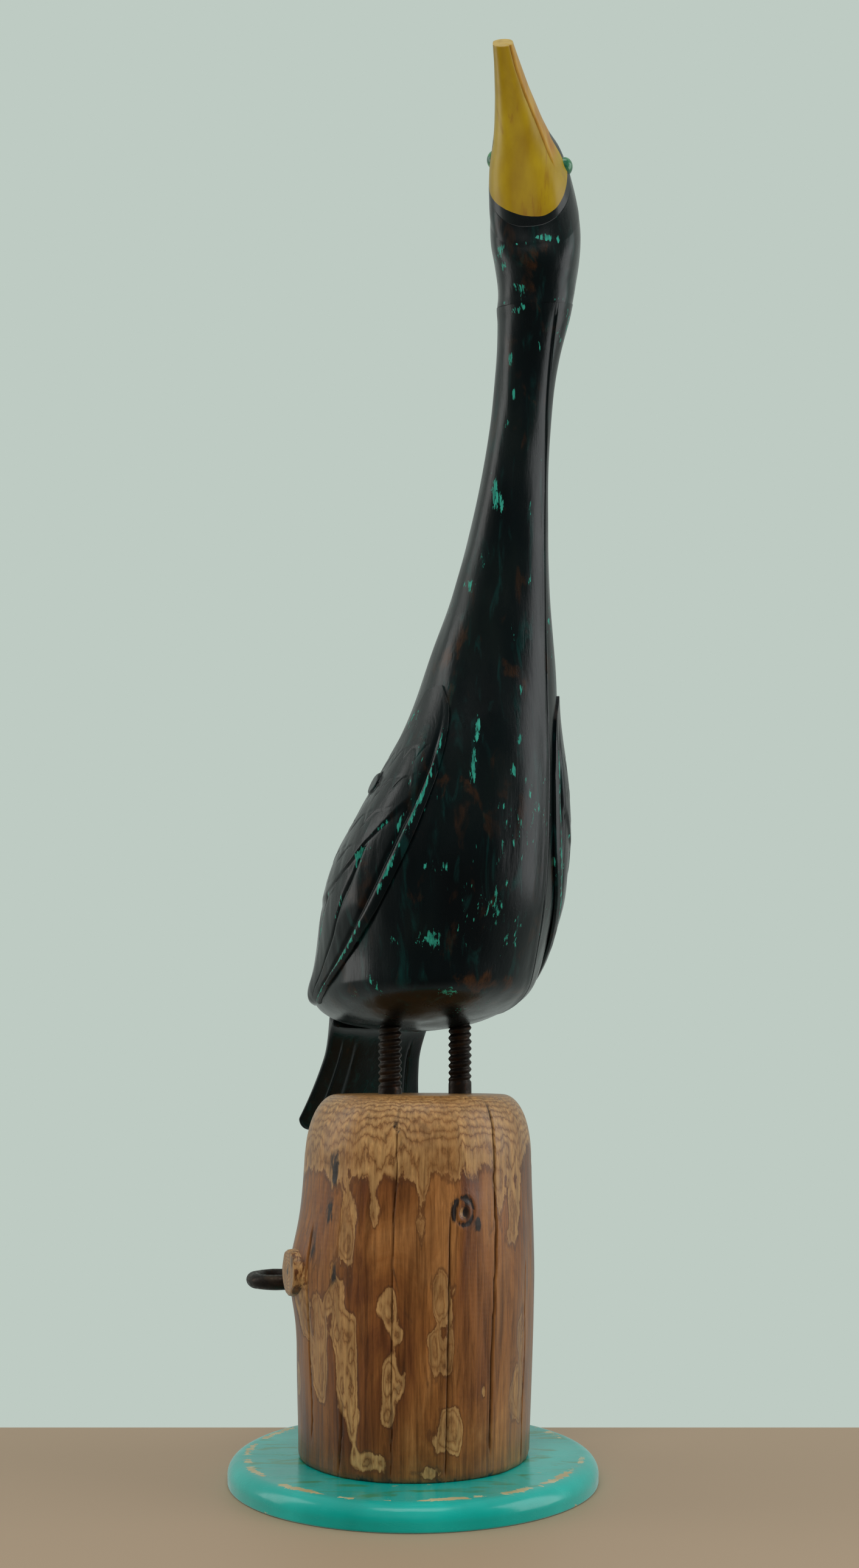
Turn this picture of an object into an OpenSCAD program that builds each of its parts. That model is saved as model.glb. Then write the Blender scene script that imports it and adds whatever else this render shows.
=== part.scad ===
// Carved and painted cormorant standing on a peeled log post with a round base board.
// Millimetres. Origin: centre of the base board's underside. +Z is up.
// The bird faces -Y, turned a little to +X. Its own frame has X forward and Y to the bird's left.

/* [Base board] */
// Diameter of the round base board
base_d = 296; // [240:1:360]
// Thickness of the base board
base_t = 20; // [18:1:34]
// Radius of the rounded upper edge
base_edge_r = 13; // [4:0.5:16]
// Circle that the base screws stand on, as a diameter
base_screw_circle_d = 110; // [80:1:140]
// Shank diameter of the base screws
base_screw_d = 5; // [4:0.5:6]
// Length of the base screws
base_screw_len = 60; // [45:1:80]

/* [Log post] */
// Height of the log post above the base board
post_h = 287; // [235:1:350]
// Diameter of the log at its foot
post_foot_d = 186; // [160:1:200]
// Diameter of the log at its middle, where the branch grew
post_middle_d = 190; // [165:1:205]
// Diameter of the log just below its rounded top
post_shoulder_d = 183; // [160:1:200]
// Diameter of the flat that is left on top of the log
post_flat_d = 134; // [110:1:146]
// Height of the rounding at the top of the log
post_round_h = 50; // [25:1:60]
// Sideways bow of the log from foot to top
post_bow = 5; // [0:0.5:12]
// Diameter of the sawn branch stub
stub_d = 34; // [20:0.5:40]
// How far the branch stub stands out of the log
stub_out = 11; // [4:0.5:20]
// Height of the branch stub above the base board
stub_z = 149; // [80:1:190]

/* [Lag screw legs] */
// Crest diameter of the lag screws
leg_d = 19; // [16:0.25:22]
// Root diameter of their thread
leg_root_d = 15.6; // [13:0.1:17]
// Pitch of their thread
leg_pitch = 5.64; // [4:0.01:7]
// Gap between the log and the belly, which the legs stand in
leg_gap = 50; // [40:1:60]
// Distance between the two legs
leg_spacing = 60; // [50:1:72]
// Depth of the legs in the log
leg_in_post = 70; // [50:1:100]
// Depth of the legs in the body
leg_in_body = 56; // [40:1:70]

/* [Bird] */
// Turn of the bird away from +X towards -Y, in degrees
body_turn = 70; // [50:1:85]
// Height of the body and neck, from the belly to the head joint
body_h = 550; // [458:1:660]
// Greatest width of the body
body_w = 190; // [158:1:228]
// Greatest depth of the body from back to breast
body_d = 200; // [166:1:240]
// Distance of the glued side board's face from the middle of the legs
glue_plane_y = 62; // [50:1:70]
// Thickness of the glue line
glue_gap = 0.1; // [0.05:0.05:0.3]
// Diameter of the dowels between the body and its side board
body_dowel_d = 12; // [8:1:14]
// Greatest thickness of a wing
wing_t = 7; // [5.5:0.5:9]
// Seat clearance between a wing and the body
wing_gap = 0.8; // [0.6:0.1:1.5]
// Diameter of the dowels that hold the wings
wing_dowel_d = 8; // [6:1:10]

/* [Tail] */
// Width of the tail board where it leaves the body
tail_w = 82; // [66:1:94]
// Width of the tail board at its end
tail_end_w = 114; // [100:1:144]
// Thickness of the tail board
tail_t = 10; // [7:0.5:12]
// Length of the tail board outside the body
tail_len = 114; // [90:1:130]
// Length of the tail board inside its slot in the body
tail_tenon_len = 30; // [24:1:40]
// Slope of the tail board from upright, in degrees
tail_slope = 33; // [28:1:40]
// Clearance round the tail board in its slot
tail_gap = 0.2; // [0.1:0.05:0.5]

/* [Head and bill] */
// Length of the head along its axis, from the neck joint to the bill joint
head_len = 84; // [70:1:100]
// Length of the bill along its axis
bill_len = 93; // [76:1:109]
// Greatest width of the head
head_w = 70; // [59:1:80]
// Turn of the head from the body's forward direction, in degrees
head_twist = -25; // [-60:1:20]
// Lean of the bill from upright, in degrees
bill_lean = 24; // [5:1:30]
// Sideways swing of the bill's tip, to the bird's right
bill_swing = 22; // [0:1:26]
// Slant of the neck joint, in degrees: its throat side is lower
neck_slant = 21; // [0:1:24]
// Diameter of the dowel in the neck joint
neck_dowel_d = 12; // [8:1:14]
// Diameter of the dowel in the bill joint
bill_dowel_d = 10; // [6:1:12]
// Diameter of an eye bead
eye_d = 13; // [10:0.5:15]

/* [Eyebolt] */
// Thickness of the eyebolt's iron
eyebolt_wire_d = 13; // [8:0.5:14]
// Inside diameter of the eye
eye_ring_inner_d = 27; // [22:0.5:30]
// Height of the eyebolt above the base board
eyebolt_z = 131; // [80:1:200]
// Direction of the eyebolt round the log, from -X towards +Y, in degrees
eyebolt_side = 25; // [10:1:60]
// Gap between the eye's ring and the log
eyebolt_neck = 6; // [4:0.5:8]
// Depth of the eyebolt's shank in the log
eyebolt_in_post = 55; // [35:1:65]
// Diameter of the eyebolt's shank
eyebolt_shank_d = 11; // [8:0.5:12]

/* [Fits] */
// Radial clearance of dowels and shanks in their bores
bore_gap = 0.1; // [0.05:0.05:0.3]
// Gap left at the face of each joint
joint_gap = 0.1; // [0.05:0.05:0.4]

/* [Hidden] */

RIGHT = -1;
LEFT = 1;
paint_black = [0.05, 0.07, 0.07];
iron = [0.25, 0.22, 0.2];

post_top = base_t + post_h;
belly_z = post_top + leg_gap;
neck_top = belly_z + body_h;
leg_mid = [9.6, 9];             // middle of the two legs on the log's top
bird_scale_z = body_h / 550;
bird_scale_w = body_w / 190;
bird_scale_d = body_d / 200;

// ---------- smooth tables ----------

// Hermite curve through rows of a table whose first column rises
function slope_at(t, i, c) =
    let(a = max(i - 1, 0), b = min(i + 1, len(t) - 1)) (t[b][c] - t[a][c]) / (t[b][0] - t[a][0]);
function row_below(t, x, i = 0) = i >= len(t) - 2 || x < t[i + 1][0] ? i : row_below(t, x, i + 1);
function smooth(t, x, c) =
    let(
        i = row_below(t, x),
        span = t[i + 1][0] - t[i][0],
        k = min(max((x - t[i][0]) / span, 0), 1)
    )
    t[i][c] * (1 + 2 * k) * (1 - k) * (1 - k) + slope_at(t, i, c) * span * k * (1 - k) * (1 - k)
        + t[i + 1][c] * k * k * (3 - 2 * k) - slope_at(t, i + 1, c) * span * k * k * (1 - k);

// Point of a rounded section at angle a, with half sizes p and q and squareness n
function signed_power(v, e) = sign(v) * pow(abs(v), e);
function section_point(a, p, q, n) = [p * signed_power(cos(a), 2 / n), q * signed_power(sin(a), 2 / n)];

// Closed solid from rings of equal length, with flat ends
module loft(rings) {
    rows = len(rings);
    cols = len(rings[0]);
    points = [for (r = rings) each r];
    skin = [
        for (i = [0 : rows - 2], j = [0 : cols - 1])
            let(a = i * cols + j, b = i * cols + (j + 1) % cols)
                each [[a, a + cols, b], [b, a + cols, b + cols]]
    ];
    foot = [[for (j = [0 : cols - 1]) j]];
    top = [[for (j = [0 : cols - 1]) (rows - 1) * cols + cols - 1 - j]];
    polyhedron(points, concat(foot, skin, top), convexity = 6);
}

module in_bird_frame() {
    translate([leg_mid.x, leg_mid.y, 0]) rotate([0, 0, -body_turn]) children();
}

// ---------- base board ----------

function base_screw_places() = [for (i = [0 : 3]) 45 + 90 * i];

module base_screw_shape(d, head_d, length, head_h) {
    rotate_extrude($fn = 48)
        polygon([[0, 0], [head_d / 2, 0], [d / 2, head_h], [d / 2, length - d], [0, length]]);
}

module at_base_screws() {
    for (a = base_screw_places()) rotate([0, 0, a]) translate([base_screw_circle_d / 2, 0, 0]) children();
}

base_screw_head_d = 2 * base_screw_d;
base_screw_head_h = 3;

module base_disc() {
    color([0.1, 0.65, 0.6])
    difference() {
        rotate_extrude($fn = 180) {
            polygon([
                [0, 0], [base_d / 2, 0],
                for (a = [0 : 5 : 90])
                    [base_d / 2 - base_edge_r * (1 - cos(a)), base_t - base_edge_r * (1 - sin(a))],
                [0, base_t]
            ]);
        }
        at_base_screws() {
            translate([0, 0, -1]) cylinder(d = base_screw_d + 2 * bore_gap, h = base_t + 2, $fn = 48);
            translate([0, 0, -1]) cylinder(d = base_screw_head_d + 2, h = base_screw_head_h + 2, $fn = 48);
        }
    }
}

module base_screws() {
    color(iron)
    at_base_screws()
        translate([0, 0, 1])
            base_screw_shape(base_screw_d, base_screw_head_d, base_screw_len, base_screw_head_h);
}

// ---------- log post ----------

post_shoulder_z = post_h - post_round_h;
post_table = [
    [0, 0, post_foot_d / 2],
    [stub_z, 2, post_middle_d / 2],
    [post_shoulder_z, post_bow * 0.8, post_shoulder_d / 2],
    [post_h, post_bow, post_shoulder_d / 2]
];
post_flat_r = post_flat_d / 2;
function post_centre(z) = smooth(post_table, z, 1) - smooth(post_table, 0, 1);
function post_side_r(z) = smooth(post_table, z, 2);
function post_r(z) =
    z < post_shoulder_z ? post_side_r(z)
    : post_flat_r + (post_side_r(z) - post_flat_r)
        * sqrt(max(0, 1 - pow((z - post_shoulder_z) / post_round_h, 2)));
post_rows = concat(
    [for (i = [0 : 8]) post_shoulder_z * i / 8],
    [for (a = [12 : 12 : 84]) post_shoulder_z + post_round_h * sin(a)],
    [post_h]
);
post_sides = 48;
stub_turn = 20;                 // the branch points a little to the front of -X

module log_post() {
    color([0.6, 0.38, 0.22])
    difference() {
        union() {
            translate([0, 0, base_t])
                loft([
                    for (z = post_rows) [
                        for (j = [0 : post_sides - 1])
                            let(a = 360 * j / post_sides)
                                [post_centre(z) + post_r(z) * cos(a), post_r(z) * sin(a), z]
                    ]
                ]);
            translate([post_centre(stub_z), 0, base_t + stub_z])
                rotate([0, 0, stub_turn]) rotate([0, -90, 0]) {
                    cylinder(d = stub_d, h = post_side_r(stub_z) + stub_out, $fn = 72);
                    cylinder(d1 = stub_d * 2, d2 = stub_d + 3, h = post_side_r(stub_z) + 3, $fn = 72);
                }
        }
        at_base_screws()
            cylinder(d = base_screw_d + 2 * bore_gap, h = base_screw_len + 3, $fn = 48);
        in_bird_frame()
            for (side = [RIGHT, LEFT])
                translate([0, side * leg_spacing / 2, post_top - leg_in_post - joint_gap])
                    cylinder(d = leg_d + 2 * bore_gap, h = leg_in_post + 5, $fn = 72);
        at_eyebolt()
            cylinder(d = eyebolt_shank_d + 2 * bore_gap, h = 200, $fn = 72);
    }
}

// ---------- lag screw legs ----------

thread_rows_per_turn = 6;
thread_sides = 20;
leg_plain = [4, 8.5];           // plain shank that shows above the log, right and left
leg_crest_r = leg_d / 2;
leg_root_r = leg_root_d / 2;
// Thread depth at turn t: a rounded ridge that covers a little more than half the pitch
function ridge(t) = pow(0.5 - 0.5 * cos(360 * t), 0.8);
function thread_r(a, z) =
    leg_root_r + (leg_crest_r - leg_root_r)
        * ridge((z / leg_pitch + a / 360) - floor(z / leg_pitch + a / 360));

module leg_screw(side) {
    plain = leg_plain[side == RIGHT ? 0 : 1];
    thread_len = leg_gap - plain + leg_in_body;
    rows = ceil(thread_len / leg_pitch * thread_rows_per_turn);
    color(iron)
    in_bird_frame() translate([0, side * leg_spacing / 2, post_top]) {
        translate([0, 0, -leg_in_post]) cylinder(r = leg_crest_r, h = leg_in_post + plain, $fn = 72);
        translate([0, 0, plain])
            loft([
                for (i = [0 : rows])
                    let(z = thread_len * i / rows)
                        [for (j = [0 : thread_sides - 1])
                            let(a = 360 * j / thread_sides, r = thread_r(-a, z))
                                [r * cos(a), r * sin(a), z]]
            ]);
    }
}

module right_leg_screw() { leg_screw(RIGHT); }
module left_leg_screw() { leg_screw(LEFT); }

// ---------- eyebolt ----------

eye_ring_r = (eye_ring_inner_d + eyebolt_wire_d) / 2;
eyebolt_reach = post_side_r(eyebolt_z) + eyebolt_neck + eyebolt_wire_d / 2 + eye_ring_r;

// Z of the children points out of the log along the shank
module at_eyebolt() {
    translate([post_centre(eyebolt_z), 0, base_t + eyebolt_z])
        rotate([0, 0, -eyebolt_side]) rotate([0, -90, 0])
            translate([0, 0, post_side_r(eyebolt_z) - eyebolt_in_post]) children();
}

module eyebolt() {
    color(iron) {
        difference() {
            at_eyebolt()
                cylinder(
                    d = eyebolt_shank_d,
                    h = eyebolt_in_post + eyebolt_neck + eyebolt_wire_d / 2,
                    $fn = 72
                );
            translate([post_centre(eyebolt_z), 0, base_t + eyebolt_z - eyebolt_wire_d])
                rotate([0, 0, -eyebolt_side]) translate([-eyebolt_reach, 0, 0])
                    cylinder(r = eye_ring_r, h = 2 * eyebolt_wire_d, $fn = 72);
        }
        translate([post_centre(eyebolt_z), 0, base_t + eyebolt_z])
            rotate([0, 0, -eyebolt_side]) translate([-eyebolt_reach, 0, 0])
                rotate_extrude($fn = 96) translate([eye_ring_r, 0]) circle(d = eyebolt_wire_d, $fn = 48);
    }
}

// ---------- body ----------

// Rows: height above the belly, forward and sideways place of the middle, half depth and
// half width, all for the bird's own size and then scaled by the driving sizes
body_table = [
    [0, -24, -8, 96, 86],
    [27, -8, -3, 105, 86],
    [54, 3, 3.5, 101, 87],
    [95, 16, 8, 98, 89],
    [134, 25, 12, 93, 85],
    [170, 33, 18, 85, 76],
    [208, 42, 24.2, 74, 67],
    [244, 49, 29.6, 62, 58.5],
    [281, 56, 34, 51, 51],
    [336, 66, 39, 39, 38.5],
    [404, 75, 44, 29, 28.5],
    [458, 82, 48, 25, 24.3],
    [512, 88, 51.5, 25.5, 25],
    [550, 93, 55, 29, 29]
];
belly_round_h = 40;             // height of the rounding under the belly
body_squareness = 2.15;
core_turns = 30;                // segments round the core's ring
board_turns = 12;               // segments round the side board's ring

function belly_factor(h) = h >= belly_round_h ? 1 : sqrt(max(0, 1 - pow(1 - h / belly_round_h, 2.4)));
function body_x(h) = smooth(body_table, h / bird_scale_z, 1) * bird_scale_d;
function body_y(h) = smooth(body_table, h / bird_scale_z, 2) * bird_scale_w;
function body_half_d(h) = smooth(body_table, h / bird_scale_z, 3) * bird_scale_d * belly_factor(h);
function body_half_w(h) = smooth(body_table, h / bird_scale_z, 4) * bird_scale_w * belly_factor(h);
// The sections slant more and more up the neck, towards the slant of the head's joint
neck_slant_from = 0.72;         // share of the body's height
function section_slant(h) =
    tan(neck_slant) * pow(max(0, h / body_h - neck_slant_from) / (1 - neck_slant_from), 2);
// Point of the body's skin at height h above the belly and angle a from forward, grown by g
function skin(h, a, g = 0) =
    let(p = section_point(a, body_half_d(h) + g, body_half_w(h) + g, body_squareness))
        [
            body_x(h) + p.x, body_y(h) + p.y,
            belly_z + h - section_slant(h) * (p.x * cos(head_twist) + p.y * sin(head_twist))
        ];

body_rows = concat(
    [for (a = [16 : 15 : 76]) belly_round_h * (1 - cos(a))],
    [for (i = [0 : 27]) belly_round_h + (body_h - joint_gap - belly_round_h) * i / 27]
);

// Share of the half width at which the glue plane cuts the section, and the angle there
function plane_share(h, p) = (p - body_y(h)) / body_half_w(h);
function plane_angle(h, p) =
    let(k = min(max(plane_share(h, p), -0.99), 0.99)) asin(pow(abs(k), body_squareness / 2)) * sign(k);
board_rows = [for (h = body_rows) if (h > belly_round_h / 3 && plane_share(h, glue_plane_y) < 0.92) h];

// Ring of one piece of the body: from the glue plane's front edge round to its back edge
function cut_ring(h, side) =
    let(
        start = plane_angle(h, glue_plane_y + side * glue_gap / 2),
        end = 180 - start,
        turns = side == LEFT ? board_turns : core_turns,
        sweep = side == LEFT ? end - start : start - end + 360
    )
    [for (j = [0 : turns]) skin(h, (side == LEFT ? start : end) + sweep * j / turns)];

body_dowel_places = [[16, 98], [36, 180], [56, 265]];    // forward, height above the belly
body_dowel_len = 28;
wing_dowel_heights = [112, 190];

module body_bores() {
    for (side = [RIGHT, LEFT])
        translate([0, side * leg_spacing / 2, belly_z - 5])
            cylinder(d = leg_d + 2 * bore_gap, h = leg_in_body + 5 + 1, $fn = 72);
    for (p = body_dowel_places)
        translate([p.x * bird_scale_d, glue_plane_y, belly_z + p.y * bird_scale_z])
            rotate([90, 0, 0])
                cylinder(d = body_dowel_d + 2 * bore_gap, h = body_dowel_len + 1, center = true, $fn = 60);
    for (side = [RIGHT, LEFT], h = wing_dowel_heights)
        at_wing_dowel(side, h)
            cylinder(d = wing_dowel_d + 2 * bore_gap, h = wing_dowel_len + 20, center = true, $fn = 48);
    at_neck_joint()
        translate([0, 0, -neck_dowel_len / 2 - 0.5])
            cylinder(d = neck_dowel_d + 2 * bore_gap, h = neck_dowel_len, $fn = 60);
    tail_board(tail_gap);
    at_tail_screws() tail_screw_shape(bore_gap, 30);
}

module body_piece(rows, side) {
    color(paint_black)
    in_bird_frame()
        difference() {
            loft([for (h = rows) cut_ring(h, side)]);
            body_bores();
        }
}

module body_core() { body_piece(body_rows, RIGHT); }
module body_left_board() { body_piece(board_rows, LEFT); }

module body_dowels() {
    color([0.75, 0.6, 0.4])
    in_bird_frame()
        for (p = body_dowel_places)
            translate([p.x * bird_scale_d, glue_plane_y, belly_z + p.y * bird_scale_z])
                rotate([90, 0, 0]) cylinder(d = body_dowel_d, h = body_dowel_len, center = true, $fn = 60);
}

// ---------- wings ----------

// Rows: height above the belly, angle of the leading edge and of the back edge from forward
wing_table = [
    [22, 94, 114],
    [32, 83, 121],
    [48, 73, 127],
    [74, 60, 128],
    [94, 52, 126],
    [133, 43, 118],
    [164, 41, 108],
    [199, 40, 97],
    [237, 45, 86],
    [258, 58, 76]
];
wing_rows = 30;
wing_cols = 12;
wing_dowel_len = 24;
wing_dowel_in_wing = 4;
wing_foot = wing_table[0][0];
wing_top = wing_table[len(wing_table) - 1][0];

function wing_h(i) = (wing_foot + (wing_top - wing_foot) * i / wing_rows) * bird_scale_z;
function wing_angle(i, t) =
    let(h = wing_h(i) / bird_scale_z)
        smooth(wing_table, h, 1) * (1 - t) + smooth(wing_table, h, 2) * t;
// Thickest along the middle, thinner at the leading edge, the back edge and both ends
function wing_depth(s, t) =
    wing_t * (0.4 + 0.6 * sin(180 * (0.1 + 0.8 * s))) * (0.55 + 0.45 * sin(180 * pow(t, 0.85)));
function wing_point(side, i, t, outside) =
    let(g = wing_gap + (outside ? wing_depth(i / wing_rows, t) : 0))
        skin(wing_h(i), side * wing_angle(i, t), g);

module wing_solid(side) {
    ring_order = side == LEFT ? [0 : 1 : wing_cols] : [wing_cols : -1 : 0];
    loft([
        for (i = [0 : wing_rows])
            concat(
                [for (j = ring_order) wing_point(side, i, j / wing_cols, true)],
                [for (j = side == LEFT ? [wing_cols : -1 : 0] : [0 : 1 : wing_cols])
                    wing_point(side, i, j / wing_cols, false)]
            )
    ]);
}

// Z of the children points out of the body's side
module at_wing_dowel(side, place) {
    h = place * bird_scale_z;
    translate([body_x(h), body_y(h) + side * (body_half_w(h) + wing_gap), belly_z + h])
        rotate([side * -90, 0, 0]) children();
}

module wing(side) {
    color([0.06, 0.1, 0.1])
    in_bird_frame()
        difference() {
            wing_solid(side);
            for (h = wing_dowel_heights)
                at_wing_dowel(side, h)
                    translate([0, 0, -wing_dowel_len])
                        cylinder(
                            d = wing_dowel_d + 2 * bore_gap,
                            h = wing_dowel_len + wing_dowel_in_wing + 0.3,
                            $fn = 48
                        );
        }
}

module right_wing() { wing(RIGHT); }
module left_wing() { wing(LEFT); }

module wing_dowels() {
    color([0.75, 0.6, 0.4])
    in_bird_frame()
        for (side = [RIGHT, LEFT], h = wing_dowel_heights)
            at_wing_dowel(side, h)
                translate([0, 0, wing_dowel_in_wing - wing_dowel_len])
                    cylinder(d = wing_dowel_d, h = wing_dowel_len, $fn = 48);
}

// ---------- tail ----------

tail_root = [-98 * bird_scale_d, -7, belly_z + 11];    // where the middle of the board leaves the rump
tail_corner_r = 12;
tail_flare = 1.8;
tail_screw_d = 5;
tail_screw_len = 19;
tail_screw_spacing = 50;

// The board, grown by g on every side: X across, Z up along the board
module tail_board(g = 0) {
    half = tail_w / 2;
    end = tail_end_w / 2;
    straight = tail_len - tail_corner_r;
    translate(tail_root) rotate([0, tail_slope, 0])
        rotate([90, 0, 90])
            linear_extrude(height = tail_t + 2 * g, center = true)
                polygon([
                    [-half - g, tail_tenon_len + g],
                    for (t = [0 : 0.125 : 0.875])
                        [-half - g - (end - half) * pow(t, tail_flare), -straight * t],
                    for (a = [180 : 15 : 270])
                        [
                            -end - g + tail_corner_r * (1 + cos(a)),
                            -tail_len - g + tail_corner_r * (1 + sin(a))
                        ],
                    for (a = [270 : 15 : 360])
                        [
                            end + g - tail_corner_r * (1 - cos(a)),
                            -tail_len - g + tail_corner_r * (1 + sin(a))
                        ],
                    for (t = [0.875 : -0.125 : 0])
                        [half + g + (end - half) * pow(t, tail_flare), -straight * t],
                    [half + g, tail_tenon_len + g]
                ]);
}

// Screws through the rump into the tenon: Z of the children points into the board
module at_tail_screws() {
    for (y = [-0.5, 0.5])
        translate(tail_root) rotate([0, tail_slope, 0])
            translate([-tail_screw_len + tail_t / 2 - 1, y * tail_screw_spacing, tail_tenon_len / 2])
                rotate([0, 90, 0]) children();
}

module tail_screw_shape(g, extra) {
    translate([0, 0, -extra]) cylinder(d = 2 * tail_screw_d + 2 * g, h = 3 + extra + g, $fn = 48);
    cylinder(d = tail_screw_d + 2 * g, h = tail_screw_len, $fn = 48);
}

module tail() {
    color(paint_black)
    in_bird_frame()
        difference() {
            tail_board();
            at_tail_screws() tail_screw_shape(bore_gap, 0);
        }
}

module tail_screws() {
    color(iron)
    in_bird_frame() at_tail_screws() tail_screw_shape(0, 0);
}

// ---------- head and bill ----------

// The head's frame has X towards the throat and Z along the neck. Its axis bends by bill_lean.
module at_neck_joint() {
    translate([body_x(body_h), body_y(body_h), neck_top]) children();
}

module in_head_frame() {
    in_bird_frame() at_neck_joint() rotate([0, 0, head_twist]) children();
}

bend_r = head_len / (bill_lean * PI / 180);
function axis_angle(s) = min(s / head_len, 1) * bill_lean;
function axis_point(s) =
    let(a = axis_angle(s), rest = max(s - head_len, 0))
        [bend_r * (1 - cos(a)) + rest * sin(a), 0, bend_r * sin(a) + rest * cos(a)];
// Point at distance s along the axis, x towards the throat and y to the head's left
function on_axis(s, x, y, skew) =
    let(a = axis_angle(s), up = -skew * x, p = axis_point(s))
        [p.x + x * cos(a) + up * sin(a), y, p.z - x * sin(a) + up * cos(a)];

// Rows: share of the length, offset towards the throat, half depth, half width, skew of the
// section, offset to the head's left
head_table = [
    [0, 0, 29, 29, tan(neck_slant), 0],
    [0.16, -1, 32, 30, 0.42, 1.5],
    [0.36, -1, 36, 32.5, 0.48, 2],
    [0.58, 0, 38, 34.5, 0.6, 1],
    [0.81, -1, 37, 33.5, 0.77, 0],
    [1, -2, 34, 31, 0.9, 0]
];
bill_table = [
    [0, -2, 34, 31, 0.9, 0],
    [0.17, -1.5, 28, 27, 0.8, 0],
    [0.33, 0, 22, 21.5, 0.7, 0],
    [0.61, 2, 15.5, 14.5, 0.7, 0],
    [0.86, 4, 11, 9.7, 0.65, 0],
    [1, 5.5, 8.5, 7.6, 0.45, 0]
];
head_squareness = 2.2;
head_sides = 40;
head_scale = head_w / 70;
head_rows = 16;
bill_rows = 16;

// Sideways shift of a section, growing from the upper head to the bill's tip
swing_start = 0.75 * head_len;
function swing(s) =
    -bill_swing * pow(max(s - swing_start, 0) / (head_len + bill_len - swing_start), 1.1);

function head_ring(t, s) =
    [for (j = [0 : head_sides - 1])
        let(
            p = section_point(
                360 * j / head_sides,
                smooth(t, s, 2) * head_scale,
                smooth(t, s, 3) * head_scale,
                head_squareness
            )
        )
        [smooth(t, s, 1) * head_scale + p.x, smooth(t, s, 5) * head_scale + p.y, smooth(t, s, 4)]];

module head_loft(t, start, length, rows) {
    loft([
        for (i = [0 : rows])
            let(s = i / rows)
                [for (p = head_ring(t, s))
                    on_axis(start + s * length, p.x, p.y + swing(start + s * length), p.z)]
    ]);
}

neck_dowel_len = 60;
bill_dowel_len = 50;
eye_x = -9;                     // place of the eyes, towards the throat
eye_share = [0.13, 0.05];       // place along the bill, right and left
eye_sunk = [4.6, 3.4];          // how far an eye's middle lies under the skin, right and left
eye_peg_d = 5;
eye_peg_len = 9;

// Z of the children runs along the bill's axis
module at_bill_joint() {
    p = axis_point(head_len);
    translate(p) rotate([0, bill_lean, 0]) children();
}

// Z of the children points out of the side of the face
module at_eye(side) {
    share = eye_share[side == RIGHT ? 0 : 1];
    s = head_len + share * bill_len;
    half = smooth(bill_table, share, 3) * head_scale;
    sunk = eye_sunk[side == RIGHT ? 0 : 1];
    translate(on_axis(s, eye_x, side * (half - sunk) + swing(s), smooth(bill_table, share, 4)))
        rotate([0, bill_lean, 0]) rotate([side * -90, 0, 0]) rotate([0, 12, 0]) children();
}

module eye_shape(g) {
    sphere(d = eye_d + 2 * g, $fn = 48);
    translate([0, 0, -eye_d / 2 - eye_peg_len + 3])
        cylinder(d = eye_peg_d + 2 * g, h = eye_peg_len, $fn = 48);
}

module neck_dowel() {
    color([0.75, 0.6, 0.4])
    in_bird_frame() at_neck_joint()
        translate([0, 0, -neck_dowel_len / 2]) cylinder(d = neck_dowel_d, h = neck_dowel_len, $fn = 60);
}

module head() {
    color(paint_black)
    in_head_frame()
        difference() {
            head_loft(head_table, 0, head_len - joint_gap, head_rows);
            // The bore starts lower by its own width, as the joint slopes
            translate([0, 0, -neck_dowel_d])
                cylinder(
                    d = neck_dowel_d + 2 * bore_gap,
                    h = neck_dowel_d + neck_dowel_len / 2 + 0.5,
                    $fn = 60
                );
            at_bill_joint()
                translate([0, 0, -bill_dowel_len / 2 - 0.5])
                    cylinder(d = bill_dowel_d + 2 * bore_gap, h = bill_dowel_len + 60, $fn = 60);
            for (side = [RIGHT, LEFT]) at_eye(side) eye_shape(bore_gap);
        }
}

module bill_dowel() {
    color([0.75, 0.6, 0.4])
    in_head_frame() at_bill_joint()
        translate([0, 0, -bill_dowel_len / 2]) cylinder(d = bill_dowel_d, h = bill_dowel_len, $fn = 60);
}

module bill() {
    color([0.75, 0.6, 0.1])
    in_head_frame()
        difference() {
            head_loft(bill_table, head_len, bill_len, bill_rows);
            at_bill_joint()
                translate([0, 0, -bill_dowel_len])
                    cylinder(d = bill_dowel_d + 2 * bore_gap, h = 1.5 * bill_dowel_len + 0.5, $fn = 60);
            for (side = [RIGHT, LEFT]) at_eye(side) eye_shape(bore_gap);
        }
}

module eye(side) {
    color([0.25, 0.55, 0.35])
    in_head_frame() at_eye(side) eye_shape(0);
}

module right_eye() { eye(RIGHT); }
module left_eye() { eye(LEFT); }

base_disc();
base_screws();
log_post();
right_leg_screw();
left_leg_screw();
eyebolt();
body_core();
body_left_board();
body_dowels();
right_wing();
left_wing();
wing_dowels();
tail();
tail_screws();
neck_dowel();
head();
bill_dowel();
bill();
right_eye();
left_eye();
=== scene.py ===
# Looks for the carved and painted cormorant on its log post.
# Lengths are millimetres until they reach a mesh, and the frame is the CAD model's.
import math

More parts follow.
